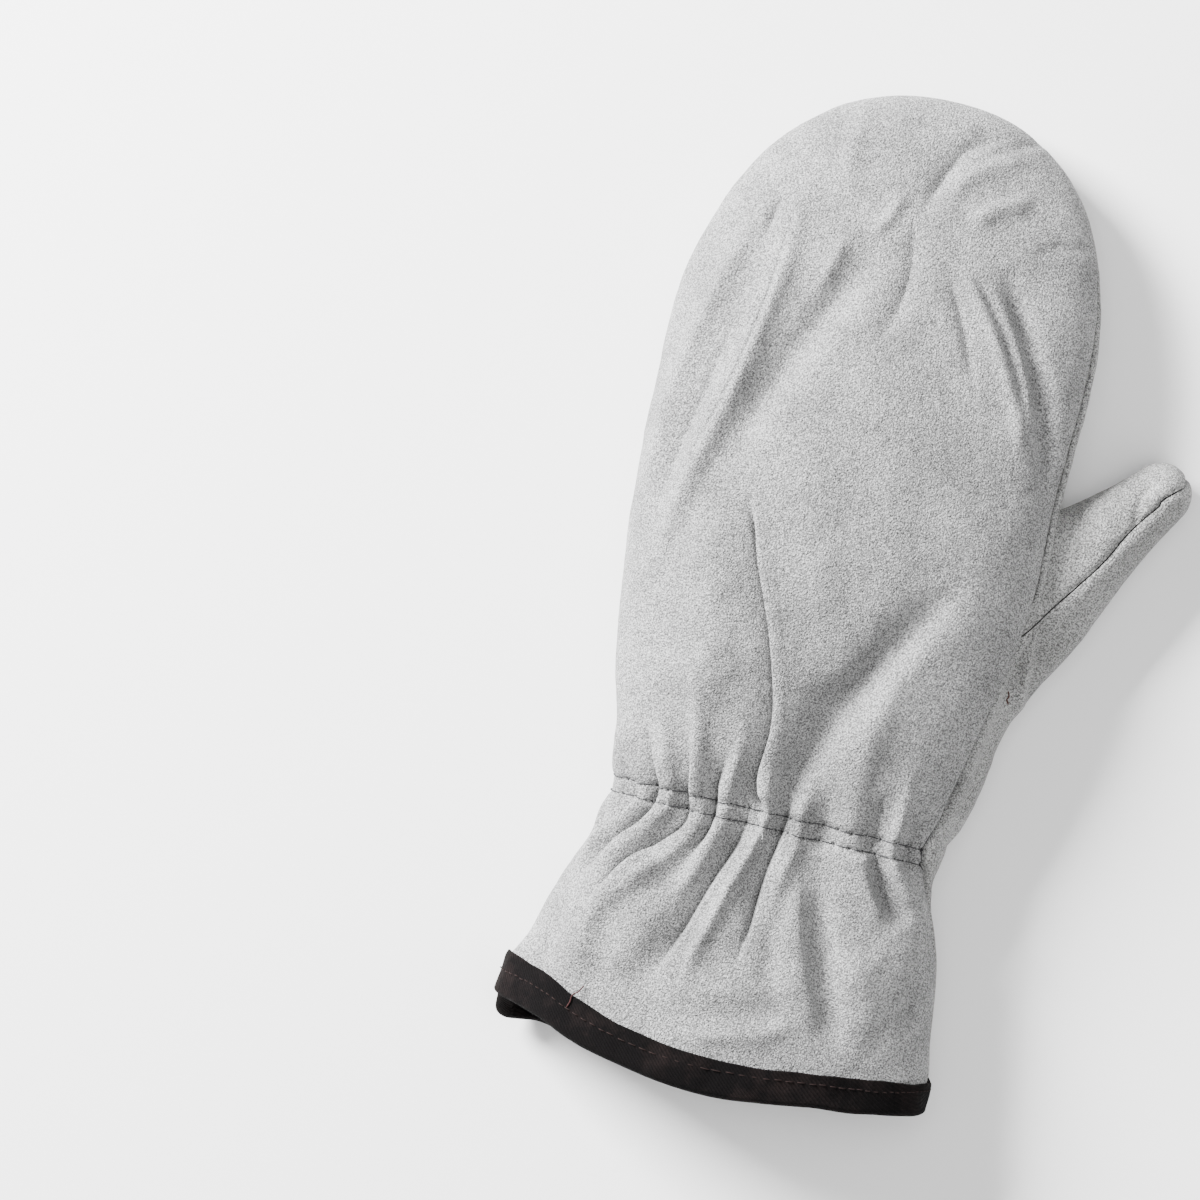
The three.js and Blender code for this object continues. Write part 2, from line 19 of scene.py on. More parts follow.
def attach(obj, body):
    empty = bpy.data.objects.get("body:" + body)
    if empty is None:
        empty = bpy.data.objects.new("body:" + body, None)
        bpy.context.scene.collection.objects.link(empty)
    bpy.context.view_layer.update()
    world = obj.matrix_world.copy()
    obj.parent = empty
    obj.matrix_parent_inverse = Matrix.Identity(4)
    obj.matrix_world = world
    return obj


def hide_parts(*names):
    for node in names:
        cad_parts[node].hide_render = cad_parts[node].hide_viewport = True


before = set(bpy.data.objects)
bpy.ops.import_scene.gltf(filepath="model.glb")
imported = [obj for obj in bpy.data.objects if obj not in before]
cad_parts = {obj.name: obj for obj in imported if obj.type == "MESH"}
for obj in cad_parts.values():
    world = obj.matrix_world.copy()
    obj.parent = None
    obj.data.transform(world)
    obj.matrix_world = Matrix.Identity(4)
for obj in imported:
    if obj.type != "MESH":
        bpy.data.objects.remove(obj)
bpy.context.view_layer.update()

# Sizes of the mitt, the same as the frame's
MITT_LENGTH = 284
PALM_WIDTH = 124
WRIST_WIDTH = 97
CUFF_WIDTH = 134
CUFF_HEIGHT = 40
WRIST_HEIGHT = 37
PALM_HEIGHT = 45
FINGER_HEIGHT = 35
RIM = 0.43
PALM_SQUARENESS = 2.5
PALM_PRESS = 1.3
ELASTIC_AT = 69
TIP_LENGTH = 84
TIP_SQUARENESS = 2.3
TIP_CLOSING = 2.7
TIP_LEVEL = 12.5
TIP_END = 0.999
THUMB_WIDTH = 31
THUMB_HEIGHT = 23.5
THUMB_TIP = 9
THUMB_ROUND = 2.2
THUMB_SEAM_LEVEL = 16
THUMB_LEVEL = 0.47
WALL = 1.8
SEAM_GAP = 0.4
CROSS_SEAM_AT = 42
CROSS_SEAM_TO = 20
BINDING_WIDTH = 10
BINDING_THICKNESS = 1
BINDING_CLEARANCE = 0.35
HEM_FADES_OVER = 32
HEM_LIFT = BINDING_THICKNESS + BINDING_CLEARANCE
HALF_PALM = PALM_WIDTH / 2
HALF_GAP_TURN = SEAM_GAP / 2 / (math.pi * CUFF_WIDTH)
ORIGIN = np.array([-12.0, 148.0, 0.0])
MM = 0.001
FAR = 400


def table(columns, *rows):
    """Named columns of a table, each as an array."""
    return dict(zip(columns.split(), np.array(rows, float).T))


SECTIONS = table(
    "at width shift height left right round",
    (-0.08, CUFF_WIDTH, -0.016, CUFF_HEIGHT, 0.42, 0.45, 2.1),
    (0, CUFF_WIDTH * 0.98, -0.014, CUFF_HEIGHT, 0.42, 0.46, 2.1),
    (0.06, CUFF_WIDTH * 0.91, 0.001, CUFF_HEIGHT, 0.42, 0.47, 2.2),
    (0.14, CUFF_WIDTH * 0.835, 0.018, WRIST_HEIGHT * 1.06, 0.42, 0.48, 2.3),
    (0.2, WRIST_WIDTH * 1.01, 0.025, WRIST_HEIGHT, 0.42, 0.54, 2.4),
    (0.243, WRIST_WIDTH, 0.034, WRIST_HEIGHT, 0.42, 0.74, 2.5),
    (0.29, WRIST_WIDTH * 1.03, 0.026, WRIST_HEIGHT * 1.05, 0.41, 0.64, 2.4),
    (0.37, PALM_WIDTH * 0.89, 0.018, PALM_HEIGHT * 0.95, 0.4, 0.62, 2.3),
    (0.5, PALM_WIDTH * 0.972, 0.023, PALM_HEIGHT, 0.4, 0.58, 2.3),
    (0.62, PALM_WIDTH * 0.99, 0.014, PALM_HEIGHT * 0.97, 0.4, 0.58, 2.3),
    (0.75, PALM_WIDTH * 0.998, 0.02, FINGER_HEIGHT * 1.12, 0.4, 0.57, 2.3),
    (0.88, PALM_WIDTH * 0.995, 0.036, FINGER_HEIGHT, 0.42, 0.5, 2.2),
    (1, PALM_WIDTH * 0.985, 0.056, FINGER_HEIGHT * 0.9, 0.42, 0.43, 2.1),
)
HEM = table(
    "turn reach width",
    (0, -0.02, 0.8),
    (0.05, -0.032, 0.86),
    (0.1, -0.042, 0.9),
    (0.16, -0.055, 0.92),
    (0.22, -0.076, 0.95),
    (0.26, -0.077, 0.94),
    (0.31, -0.056, 0.98),
    (0.36, -0.024, 1.1),
    (0.4, 0.004, 1.12),
    (0.46, 0.026, 1.12),
    (0.5, 0.026, 1.1),
    (0.55, -0.02, 1.05),
    (0.62, -0.022, 1),
    (0.68, -0.036, 1),
    (0.75, -0.073, 1),
    (0.8, -0.066, 1),
    (0.86, -0.034, 1),
    (0.93, -0.012, 0.95),
    (1, -0.02, 0.8),
)
THUMB_SECTIONS = table(
    "number x y turn outer inner top",
    (0, 0.54, 0.225, 0, 0.45, 0.3, 0.95),
    (1, 0.57, 0.28, 3, 0.63, 0.42, 0.98),
    (2, 0.61, 0.345, 6, 0.69, 0.55, 1),
    (3, 0.66, 0.415, 14, 0.76, 0.61, 1.03),
    (4, 0.76, 0.479, 26, 0.82, 0.64, 1.03),
    (5, 0.935, 0.535, 38, 0.775, 0.58, 1.02),
    (6, 1.17, 0.577, 46, 0.51, 0.48, 1),
    (7, 1.345, 0.623, 41, 0.36, 0.36, 0.92),
    (8, 1.465, 0.657, 36, 0.3, 0.3, 0.82),
)
THUMB_SEAM = table(
    "number x y top_x top_y",
    (0, 0.31, -0.3, 0.31, -0.3),
    (1, 0.29, 0.02, 0.29, 0.02),
    (2, 0.21, 0.08, 0.21, 0.08),
    (3, 0.16, 0.15, 0.16, 0.15),
    (4, 0.135, 0.23, 0.135, 0.23),
    (5, 0.13, 0.29, 0.15, 0.29),
    (6, 0.15, 0.34, 0.25, 0.34),
    (7, 0.19, 0.39, 0.42, 0.38),
    (8, 0.25, 0.445, 0.7, 0.43),
    (9, 0.34, 0.497, 0.9, 0.467),
    (10, 0.42, 0.526, 1, 0.49),
    (11, 0.53, 0.545, 1.08, 0.516),
    (12, 0.73, 0.572, 1.16, 0.54),
    (13, 0.97, 0.603, 1.27, 0.575),
    (14, 1.21, 0.634, 1.355, 0.61),
    (15, 1.4, 0.662, 1.455, 0.64),
    (16, 1.55, 0.69, 1.6, 0.674),
    (17, 2.6, 0.85, 2.6, 0.84),
)

# Folds drawn as smooth lines through x, y points. Each row has its rise, negative for a valley, the half
# widths of its left and right flanks as seen along the line's course, the shares of the line over which its
# start and its end run out, and the points.
ELASTIC_STROKES = [
    (1.3, 2.4, 2.2, 0.3, 0.3, [(-47, 92), (-45, 80), (-43.5, 69), (-45, 60), (-50, 50)]),
    (1.8, 2.4, 2.2, 0.4, 0.25, [
        (-47, 92), (-42, 81), (-37.5, 75), (-34.5, 69), (-36.5, 62.5), (-41, 55), (-47, 47), (-52, 40)]),
    (1.9, 2.4, 2.2, 0.4, 0.25, [
        (-40, 99), (-35, 89), (-31.5, 79), (-29, 73), (-28.5, 67), (-30.5, 62), (-35, 54.5), (-46, 39)]),
    (2.0, 3.0, 2.4, 0.4, 0.3, [
        (-33, 112), (-27, 98), (-23, 80), (-21, 72), (-18.5, 67), (-19.5, 61), (-24, 54), (-37, 38),
        (-43, 27)]),
    (1.8, 2.8, 2.4, 0.4, 0.3, [
        (-14, 98), (-12, 88), (-12.5, 80), (-12.5, 73), (-12, 68), (-13, 61.5), (-15.5, 54), (-22, 37)]),
    (1.8, 2.8, 1.5, 0.3, 0.3, [
        (-2, 90), (-1.5, 80), (-0.5, 74), (-0.5, 68), (-2, 61.5), (-5, 52), (-10, 35), (-12.5, 25),
        (-13, 15)]),
    (1.4, 3.0, 2.6, 0.4, 0.35, [
        (11, 95), (9.5, 85), (9, 76), (9.5, 69), (9.5, 63), (7.5, 54), (6.5, 45), (6, 35), (6, 22)]),
    (1.0, 4.6, 5.0, 0.6, 0.35, [
        (47, 150), (37, 133), (28.5, 117), (24.5, 101), (23.5, 88), (24, 77), (25, 69), (28, 62),
        (30, 55), (33, 44)]),
    (2.0, 2.6, 2.2, 0.5, 0.3, [(38, 95), (38, 82), (37, 70), (39, 64), (43.5, 58.5), (50, 53), (54, 46)]),
    (-1.8, 1.0, 4.6, 0.2, 0.3, [
        (-5, 72), (-6, 63.5), (-8, 56.5), (-11, 49), (-14, 40), (-17, 31), (-22.5, 18)]),
    (-1.4, 0.9, 4.2, 0.3, 0.35, [
        (-28, 91), (-25.5, 81), (-23.5, 73), (-22, 67), (-22.5, 62), (-27, 56.5), (-35.5, 47.5), (-43, 36)]),
    (-1.3, 0.9, 3.6, 0.3, 0.3, [(-14.5, 87), (-16, 77), (-15.5, 72), (-15, 67), (-16, 61), (-18.5, 55)]),
    (-1.5, 1.0, 4.0, 0.3, 0.4, [(5, 80), (5.5, 72), (5, 65), (3.5, 56.5), (2.5, 47), (2, 37), (0, 25)]),
    (-1.0, 3.5, 3.5, 0.5, 0.3, [(16, 84), (16.5, 69), (14.5, 61)]),
    (-1.9, 4.0, 4.6, 0.35, 0.3, [(17, 62), (19.5, 52), (21.5, 44), (26, 28), (31, 16), (37, 4)]),
    (0.9, 1.6, 4.0, 0.3, 0.3, [(11, 58), (13.5, 50), (14.8, 44), (20, 28), (24.5, 20), (29, 10)]),
    (-1.2, 2.6, 2.6, 0.4, 0.1, [(32, 84), (32, 69), (31.5, 64)]),
    (-2.8, 1.8, 3.4, 0.15, 0.3, [(34, 66), (37, 59), (42, 53), (48, 49)]),
    (0.9, 1.4, 3.0, 0.2, 0.3, [(30.5, 67), (31.5, 61), (35, 54), (40, 47)]),
    (-1.1, 1.8, 2.0, 0.4, 0.3, [(45, 80), (43.5, 70), (45, 63)]),
]
BACK_STROKES = [
    # the crown towards the little finger's side and the fall towards the thumb's side
    (0.6, 24.0, 22.0, 0.12, 0.12, [(-24, 262), (-28, 200), (-28, 140), (-20, 70), (-24, 10)]),
    (-0.9, 24.0, 22.0, 0.12, 0.12, [(30, 254), (34, 200), (36, 150), (32, 100), (26, 70), (34, 10)]),
    # the deep crease up from the wrist, steep on its thumb side
    (-3.2, 7.0, 0.9, 0.06, 0.35, [
        (-2, 71), (-3, 75), (-4.5, 81), (-4, 90), (-4, 96), (-5.5, 105), (-10, 120), (-15, 133),
        (-21, 147), (-27, 162)]),
    (1.2, 1.4, 6.0, 0.1, 0.4, [
        (0, 71), (-2, 84), (-2, 98), (-4, 108), (-8.5, 120), (-13.5, 132), (-19, 145), (-26, 160)]),
    # the broad slope beside the ball of the thumb, and the swell up the middle
    (-3.0, 6.5, 5.5, 0.15, 0.4, [
        (3.5, 70), (5.5, 82), (12.5, 102), (18.5, 113), (27, 128), (36, 142), (43, 153)]),
    (1.2, 9.0, 8.0, 0.4, 0.4, [(-4, 118), (-2, 140), (-6, 162), (-10, 185)]),
    # swells and creases of the little-finger side
    (2.0, 8.0, 7.0, 0.2, 0.4, [(-24, 96), (-26, 112), (-30, 128), (-35, 145), (-38, 158)]),
    (1.9, 4.5, 3.2, 0.3, 0.3, [
        (-48, 128), (-46, 148), (-41, 170), (-36.5, 190), (-32.5, 212), (-30, 232), (-30, 252)]),
    (1.2, 3.4, 3.0, 0.3, 0.3, [(-54, 138), (-54.5, 160), (-54, 182), (-49, 210), (-43, 232), (-37, 246)]),
    (-1.1, 2.2, 2.2, 0.4, 0.4, [(-50, 140), (-49, 165), (-44, 192), (-40, 215)]),
    (-0.9, 1.0, 1.2, 0.4, 0.3, [(-35, 246), (-37, 240), (-38, 232)]),
    (-2.2, 5.2, 5.0, 0.35, 0.35, [(-35, 160), (-31, 178), (-26, 194), (-17, 213), (-8, 233), (-4, 243)]),
    (0.9, 2.0, 2.4, 0.4, 0.4, [(-20, 219), (-17.5, 228), (-14.5, 240)]),
    (0.9, 2.2, 2.0, 0.4, 0.4, [(-9, 238), (-4.5, 246), (-1, 256)]),
    (-0.7, 2.4, 2.0, 0.4, 0.4, [(-19, 250), (-10, 246), (0, 249)]),
    # the fingertips
    (-1.6, 2.4, 3.6, 0.25, 0.3, [(26, 276), (22, 276), (14, 271.5), (10, 265), (7, 257), (4, 248)]),
    (0.8, 3.0, 2.2, 0.3, 0.3, [(33, 272), (23, 268), (15, 262), (11, 254)]),
    (-0.6, 1.2, 1.4, 0.3, 0.3, [(38, 279), (28, 275), (18, 269)]),
    (1.2, 2.4, 3.0, 0.3, 0.3, [(18, 248), (25, 255), (36, 260)]),
    (0.6, 3.0, 3.0, 0.4, 0.4, [(-17, 280), (-19, 262), (-20, 250)]),
    (-0.5, 1.0, 1.2, 0.3, 0.3, [(38, 244), (46, 249), (58, 251)]),
    # folds towards the thumb side
    (1.3, 3.0, 2.2, 0.2, 0.3, [(17, 238), (23, 232), (29, 225), (38, 211), (45, 197), (49, 184)]),
    (-1.1, 2.2, 2.0, 0.3, 0.3, [(20, 238), (31, 226), (41, 211), (48, 196)]),
    (1.0, 2.0, 1.8, 0.3, 0.3, [(27, 235), (37, 223), (45, 208), (51, 192)]),
    (-2.2, 3.0, 3.4, 0.25, 0.4, [(31, 240), (41, 224), (50, 207), (56, 188), (58, 170)]),
    (-1.1, 2.6, 2.6, 0.4, 0.4, [(2, 250), (4, 240), (5, 230), (3, 218), (-2, 207)]),
    (-1.2, 3.0, 2.2, 0.4, 0.4, [(12, 240), (17, 232), (21.5, 224), (27, 212), (32, 200)]),
    # the cuff
    (1.3, 34.0, 16.0, 0.2, 0.2, [(-2, 60), (-2, 44), (0, 28), (4, 12)]),
    (-1.5, 4.0, 5.0, 0.3, 0.35, [(6, 56), (6, 42), (9, 31), (12.5, 20), (15.5, 12)]),
    (-1.2, 4.0, 6.0, 0.3, 0.35, [(-13, 45), (-18.5, 32), (-23.5, 21), (-28, 12)]),
    (2.4, 4.0, 8.0, 0.15, 0.3, [(-29, 54), (-38, 42), (-43, 30), (-43, 18), (-40, 8)]),
    (1.4, 9.0, 7.0, 0.3, 0.3, [(-28, 44), (-32, 30), (-33, 14)]),
    (0.8, 1.8, 2.6, 0.3, 0.3, [(-16, 3.5), (-5, 4.5), (4, 6), (13, 9), (24, 16)]),
    (1.2, 6.0, 7.0, 0.3, 0.3, [(34, 40), (38, 26), (44, 12)]),
    (0.6, 5.0, 5.0, 0.3, 0.3, [(13, 44), (11, 28), (12, 14)]),
    (-0.9, 3.0, 3.0, 0.3, 0.3, [(54, 48), (53, 32), (54, 14)]),
    (-0.8, 3.0, 3.0, 0.3, 0.3, [(-52, 34), (-52, 22), (-56, 10)]),
]
# Sharp folds, each with a lip on the right of its line that hangs over the valley. Each row has its depth,
# the push of the lip to the side, the shares over which its ends run out, and the points.
CREASES = [
    (3.2, 2.5, 0.06, 0.25, [
        (-2, 71), (-3, 75), (-4.5, 81), (-4, 90), (-4, 96), (-5.5, 105), (-10, 120), (-15, 133),
        (-21, 147), (-27, 160)]),
    (1.7, 1.3, 0.3, 0.1, [
        (-52, 40), (-47.5, 48), (-42.5, 56), (-39, 62), (-37, 67.5), (-38.5, 72), (-42, 77.5), (-46, 84)]),
    (1.5, 1.2, 0.3, 0.3, [
        (-49, 39), (-44, 46), (-38.5, 54.5), (-33, 63), (-32, 67), (-32, 72), (-34, 76.5), (-37, 82),
        (-42, 92)]),
    (1.9, 1.5, 0.3, 0.35, [
        (-46, 30), (-43, 36), (-35.5, 47.5), (-27, 56.5), (-22.5, 62), (-22, 67), (-23.5, 73),
        (-25.5, 81), (-28, 91)]),
    (1.0, 0.7, 0.3, 0.3, [(-20, 50), (-18.5, 55), (-16, 61), (-15, 67), (-15.5, 72), (-16, 77), (-14.5, 86)]),
    (1.0, 0.6, 0.3, 0.3, [(-22.5, 18), (-17, 31), (-14, 40), (-11, 49), (-8, 56.5), (-6, 63.5), (-5, 70)]),
    (1.1, 0.8, 0.3, 0.3, [(0, 25), (2, 37), (2.5, 47), (3.5, 56.5), (5, 65), (5.5, 72), (5, 80)]),
    (0.8, 0.5, 0.3, 0.2, [(47, 51.5), (42.5, 56), (38.5, 61), (36, 66)]),
    (0.6, 0.4, 0.3, 0.3, [(-30, 250), (-32, 232), (-34, 212), (-38, 190), (-43, 170), (-48, 148)]),
]
STROKE_REACH = 2.6
NARROW = 3
NARROW_VALLEY_POWER = 1.25
STROKE_POWER = 1.9
CREASE_REACH = 6
CREASE_POWER = 1.6
CREASE_LEFT = 0.9
CREASE_RIGHT = 0.6
LIP_HEIGHT = 0.45
LIP_AT = 1.5
LIP_WIDTH = 1.3
PUSH_WIDTH = 0.95
PALM_STROKES = [
    # the floor side of the palm
    (-2.2, 4.0, 3.4, 0.2, 0.3, [(24, 235), (36, 229), (46, 218), (52, 202), (55, 184)]),
    (-1.0, 2.6, 2.6, 0.3, 0.3, [(4, 240), (4, 210), (6, 165)]),
    (-1.6, 2.6, 2.6, 0.2, 0.3, [(29, 156), (26, 166), (22, 180)]),
    (-1.8, 2.4, 2.4, 0.3, 0.3, [(-60, 136), (-50, 133), (-40, 140)]),
    (-1.8, 2.2, 2.2, 0.3, 0.3, [(-57, 112), (-46, 108), (-35, 122)]),
    (-1.3, 3.0, 3.0, 0.3, 0.3, [(-4, 155), (-9, 110), (-19, 82), (-32, 62)]),
    (-0.9, 3.0, 3.0, 0.3, 0.3, [(-20, 60), (-12, 80), (-4, 100)]),
    (-1.4, 4.0, 4.0, 0.3, 0.3, [(34, 150), (28, 120), (20, 85)]),
    (-1.4, 4.0, 4.0, 0.3, 0.3, [(28, 76), (33, 62), (38, 45), (36, 25)]),
    (-1.3, 4.0, 4.0, 0.3, 0.3, [(48, 140), (70, 165), (90, 182)]),
    (-1.0, 1.8, 1.8, 0.3, 0.3, [(33, 72), (40, 79), (46, 86)]),
]
THUMB_STROKES = [
    # the upper side of the palm and the thumb panel
    (-1.1, 1.7, 2.0, 0.25, 0.25, [(87.5, 191), (85.5, 185), (85, 180), (85.5, 174)]),
    (-0.8, 2.4, 2.4, 0.3, 0.3, [(66, 178), (70, 170), (72, 160)]),
    (0.7, 3.0, 3.0, 0.3, 0.3, [(74, 182), (77, 174), (78, 166)]),
    (-0.7, 3.0, 3.0, 0.3, 0.3, [(68, 132), (76, 148), (88, 168)]),
    (0.7, 2.0, 2.0, 0.3, 0.3, [(53, 76), (56, 92), (60, 108)]),
    (1.8, 5.0, 5.0, 0.3, 0.4, [(60, 104), (56, 88), (53, 74), (51.5, 64), (51, 56)]),
    (0.9, 2.6, 2.6, 0.3, 0.3, [(48, 62), (53, 54), (57, 44)]),
]
# The pinch below the end of the thumb's upper seam
PINCH_STROKES = [
    (1.8, 1.7, 1.5, 0.1, 0.3, [(62.5, 140), (63.5, 130), (64, 122), (64, 113)]),
    (-1.3, 1.6, 2.2, 0.2, 0.3, [(66, 137), (67, 127), (67, 117)]),
    (-1.0, 2.0, 2.0, 0.2, 0.3, [(60.5, 134), (60.5, 126), (60, 114)]),
]
PINCH_ABOVE = 9

# The two rows that hold the elastic under the leather
ELASTIC_ROWS = (70.9, 66.4)
ELASTIC_SLOPE = -0.012
ELASTIC_STITCH = 4.4
ELASTIC_FROM = -46.5
ELASTIC_TO = 47.5
ELASTIC_DRAW = 1.3
ELASTIC_BAND = 4.2
GROOVE_DEPTH = 0.55
GROOVE_WIDTH = 0.75
DIMPLE_DEPTH = 0.9
DIMPLE_WIDTH = 0.65
THREAD = 0.15
# Radius of the dark plugs in the stitch holes, painted shade standing in for the holes' shadow
HOLE_SHADE_PLUG = 0.42
SEAM_THREAD = 0.32
TAIL = [(-44.5, 3.5), (-43.4, 5.2), (-42.6, 7.4), (-41.2, 8.6), (-40.4, 10.4)]
TAIL_HEIGHTS = [1.35, 1.6, 1.75, 1.5, 0.5]
FIBRE = [(60.2, 120.6), (60.8, 119.2), (60.4, 118.2), (61.2, 116.9)]
GATHER_STRENGTH = 1.6
FOLD_STRENGTH = 1.5
SEAM_ROLL = 1.5
SEAM_ROLL_WIDTH = 2.4
INNER_ROLL = 0.4
BACK_LOWEST = 0.4
PALM_LIP_RADIUS = 1.1
PALM_LIP_SINK = 1.2
PALM_LIP_FROM = 143
PALM_LIP_TO = 246
HEM_FLARE = 3.0
HEM_FLARE_TURN = 0.465
HEM_FLARE_WIDTH = 0.035
HEM_FLARE_LENGTH = 22
SHARP_ANGLE = math.radians(38)


def smooth(value):
    share = np.clip(value, 0, 1)
    return share * share * (3 - 2 * share)


def power(value, exponent):
    return np.sign(value) * np.abs(value) ** exponent


def unit(vectors):
    return vectors / np.maximum(np.linalg.norm(vectors, axis=-1, keepdims=True), 1e-9)


def lookup(rows, key, place, column):
    """A column of a table at places between its rows, along a smooth curve through them."""
    keys, values = rows[key], rows[column]
    place = np.clip(place, keys[0], keys[-1])
    row = np.clip(np.searchsorted(keys, place) - 1, 0, len(keys) - 2)
    before, after = np.maximum(row - 1, 0), np.minimum(row + 2, len(keys) - 1)
    span = keys[row + 1] - keys[row]
    start = (values[row + 1] - values[before]) / (keys[row + 1] - keys[before]) * span
    end = (values[after] - values[row]) / (keys[after] - keys[row]) * span
    t = (place - keys[row]) / span
    bend = (2 * t**3 - 3 * t**2 + 1) * values[row] + (t**3 - 2 * t**2 + t) * start
    return bend + (3 * t**2 - 2 * t**3) * values[row + 1] + (t**3 - t**2) * end


def section(y):
    """One section of the hand: its middle, half width, top and seams, closed towards the fingertips."""
    at = y / MITT_LENGTH
    column = {name: lookup(SECTIONS, "at", at, name) for name in SECTIONS}
    end = np.clip((y - MITT_LENGTH + TIP_LENGTH) / TIP_LENGTH, 0, 1)
    narrow = (1 - end**TIP_SQUARENESS) ** (1 / TIP_SQUARENESS)
    close = (1 - end**TIP_CLOSING) ** (1 / TIP_CLOSING)

    def level(share):
        return TIP_LEVEL + (share * column["height"] - TIP_LEVEL) * close

    return SimpleNamespace(
        middle=column["shift"] * column["width"],
        half=column["width"] / 2 * narrow,
        top=level(1),
        rim=level(RIM),
        bottom=level(RIM * (1 - PALM_PRESS)),
        left=level(column["left"]),
        right=level(column["right"]),
        round=column["round"],
    )


def hem_shift(turn):
    """How far the hem's shape moves its reach along the mitt."""
    return lookup(HEM, "turn", turn % 1, "reach") * CUFF_WIDTH


def hand_y(turn, reach):
    """The y of places at a distance from the hem, whose shape fades out over the cuff."""
    flat = np.maximum(reach, BINDING_WIDTH)
    share = 1 - smooth((flat - BINDING_WIDTH) / HEM_FADES_OVER)
    return flat + hem_shift(turn) * share


def half_section(shape, upper):
    """The height of a section above or below its rim, and how square its curve is there."""
    height = np.where(upper, shape.top - shape.rim, shape.rim - shape.bottom)
    return height, np.where(upper, shape.round, PALM_SQUARENESS)


def height_share(points):
    """The share of its section's height above the rim at which each point lies."""
    shape = section(points[..., 1])
    return (points[..., 2] - shape.rim) / np.maximum(shape.top - shape.rim, 0.01)


def hand_point(turn, reach, inset=0.0):
    """Points of the hand's surface without folds. turn goes round from the thumb side over the back."""
    turn, reach = np.broadcast_arrays(np.asarray(turn, float), np.asarray(reach, float))
    y = hand_y(turn, reach)
    shape = section(y)
    angle = turn * 2 * math.pi
    depth, squareness = half_section(shape, turn % 1 <= 0.5)
    across, up = (power(part, 2 / squareness) for part in (np.cos(angle), np.sin(angle)))
    lift = HEM_LIFT * (1 - smooth((reach - BINDING_WIDTH) / BINDING_WIDTH))
    flare = HEM_FLARE * np.exp(-(((turn % 1 - HEM_FLARE_TURN) / HEM_FLARE_WIDTH) ** 2))
    flare = flare * (1 - smooth(reach / HEM_FLARE_LENGTH))
    x = shape.middle + np.maximum(0.05, shape.half - inset) * across - flare
    z = shape.rim + np.maximum(0.05, depth - inset) * up
    return np.stack([x, y + np.minimum(0, reach - BINDING_WIDTH), np.maximum(z, lift + inset)], -1)


def hand_normal(turn, reach):
    """Directions out of the hand's surface."""
    small_turn, small_reach = 2e-4, 0.25
    around = hand_point(turn + small_turn, reach) - hand_point(turn - small_turn, reach)
    along = hand_point(turn, reach) - hand_point(turn, reach - small_reach)
    return -unit(np.cross(around, along))


def seam_turn(reach, side):
    """Where the seam at the thumb side (1) or the little-finger side (-1) of the back lies on the section."""
    turn = np.full(np.shape(reach), 0.1 if side > 0 else 0.5)
    for _ in range(4):
        shape = section(hand_y(turn, reach))
        height = shape.right if side > 0 else shape.left
        above = height >= shape.rim
        depth, squareness = half_section(shape, above)
        share = np.clip(np.abs(height - shape.rim) / np.maximum(depth, 0.01), 0, 1)
        angle = np.arcsin(share ** (squareness / 2)) / (2 * math.pi)
        turn = np.where(above, angle, -angle) if side > 0 else 0.5 - np.where(above, angle, -angle)
    return turn


def back_turn(x, y):
    """The turn at which the back has that x, beyond the shaped hem."""
    shape = section(y)
    across = np.clip((x - shape.middle) / shape.half, -1, 1)
    return np.arccos(power(across, shape.round / 2)) / (2 * math.pi)


def smooth_line(points, steps=8):
    """A smooth line through points, with its places between them."""
    rows = {"place": np.arange(len(points), dtype=float), "x": None, "y": None}
    rows["x"], rows["y"] = np.array(points, float).T
    place = np.linspace(0, len(points) - 1, (len(points) - 1) * steps + 1)
    return np.stack([lookup(rows, "place", place, axis) for axis in ("x", "y")], -1)


def line_distance(x, y, line):
    """Distances from a line, positive to the right of it, with the shares of its length and its headings."""
    start, step = line[:-1], np.diff(line, axis=0)
    length = np.hypot(*step.T)
    dx, dy = x[:, None] - start[:, 0], y[:, None] - start[:, 1]
    t = np.clip((dx * step[:, 0] + dy * step[:, 1]) / length**2, 0, 1)
    gap = np.hypot(dx - t * step[:, 0], dy - t * step[:, 1])
    nearest = gap.argmin(1)
    pick = np.arange(len(x)), nearest
    side = np.sign(dx[pick] * step[nearest, 1] - dy[pick] * step[nearest, 0])
    run = np.concatenate([[0], np.cumsum(length)])
    heading = step[nearest] / length[nearest, None]
    return gap[pick] * side, (run[nearest] + t[pick] * length[nearest]) / run[-1], heading


def beside(x, y, points, margin):
    """Which places lie near a smooth line, and what line_distance says of those."""
    line = smooth_line(points)
    low, high = line.min(0) - margin, line.max(0) + margin
    near = (x > low[0]) & (x < high[0]) & (y > low[1]) & (y < high[1])
    return near, *line_distance(x[near], y[near], line)


def stroke_relief(x, y, strokes):
    """The summed height of folds at points in plan."""
    total = np.zeros(x.shape)
    for rise, left, right, fade_in, fade_out, points in strokes:
        near, distance, share, _ = beside(x, y, points, STROKE_REACH * max(left, right))
        half = np.where(distance < 0, left, right)
        ends = smooth((share + 0.02) / fade_in) * smooth((1.02 - share) / fade_out)
        exponent = NARROW_VALLEY_POWER if rise < 0 and min(left, right) < NARROW else STROKE_POWER
        total[near] += rise * ends * np.exp(-(np.abs(distance / half) ** exponent))
    return total


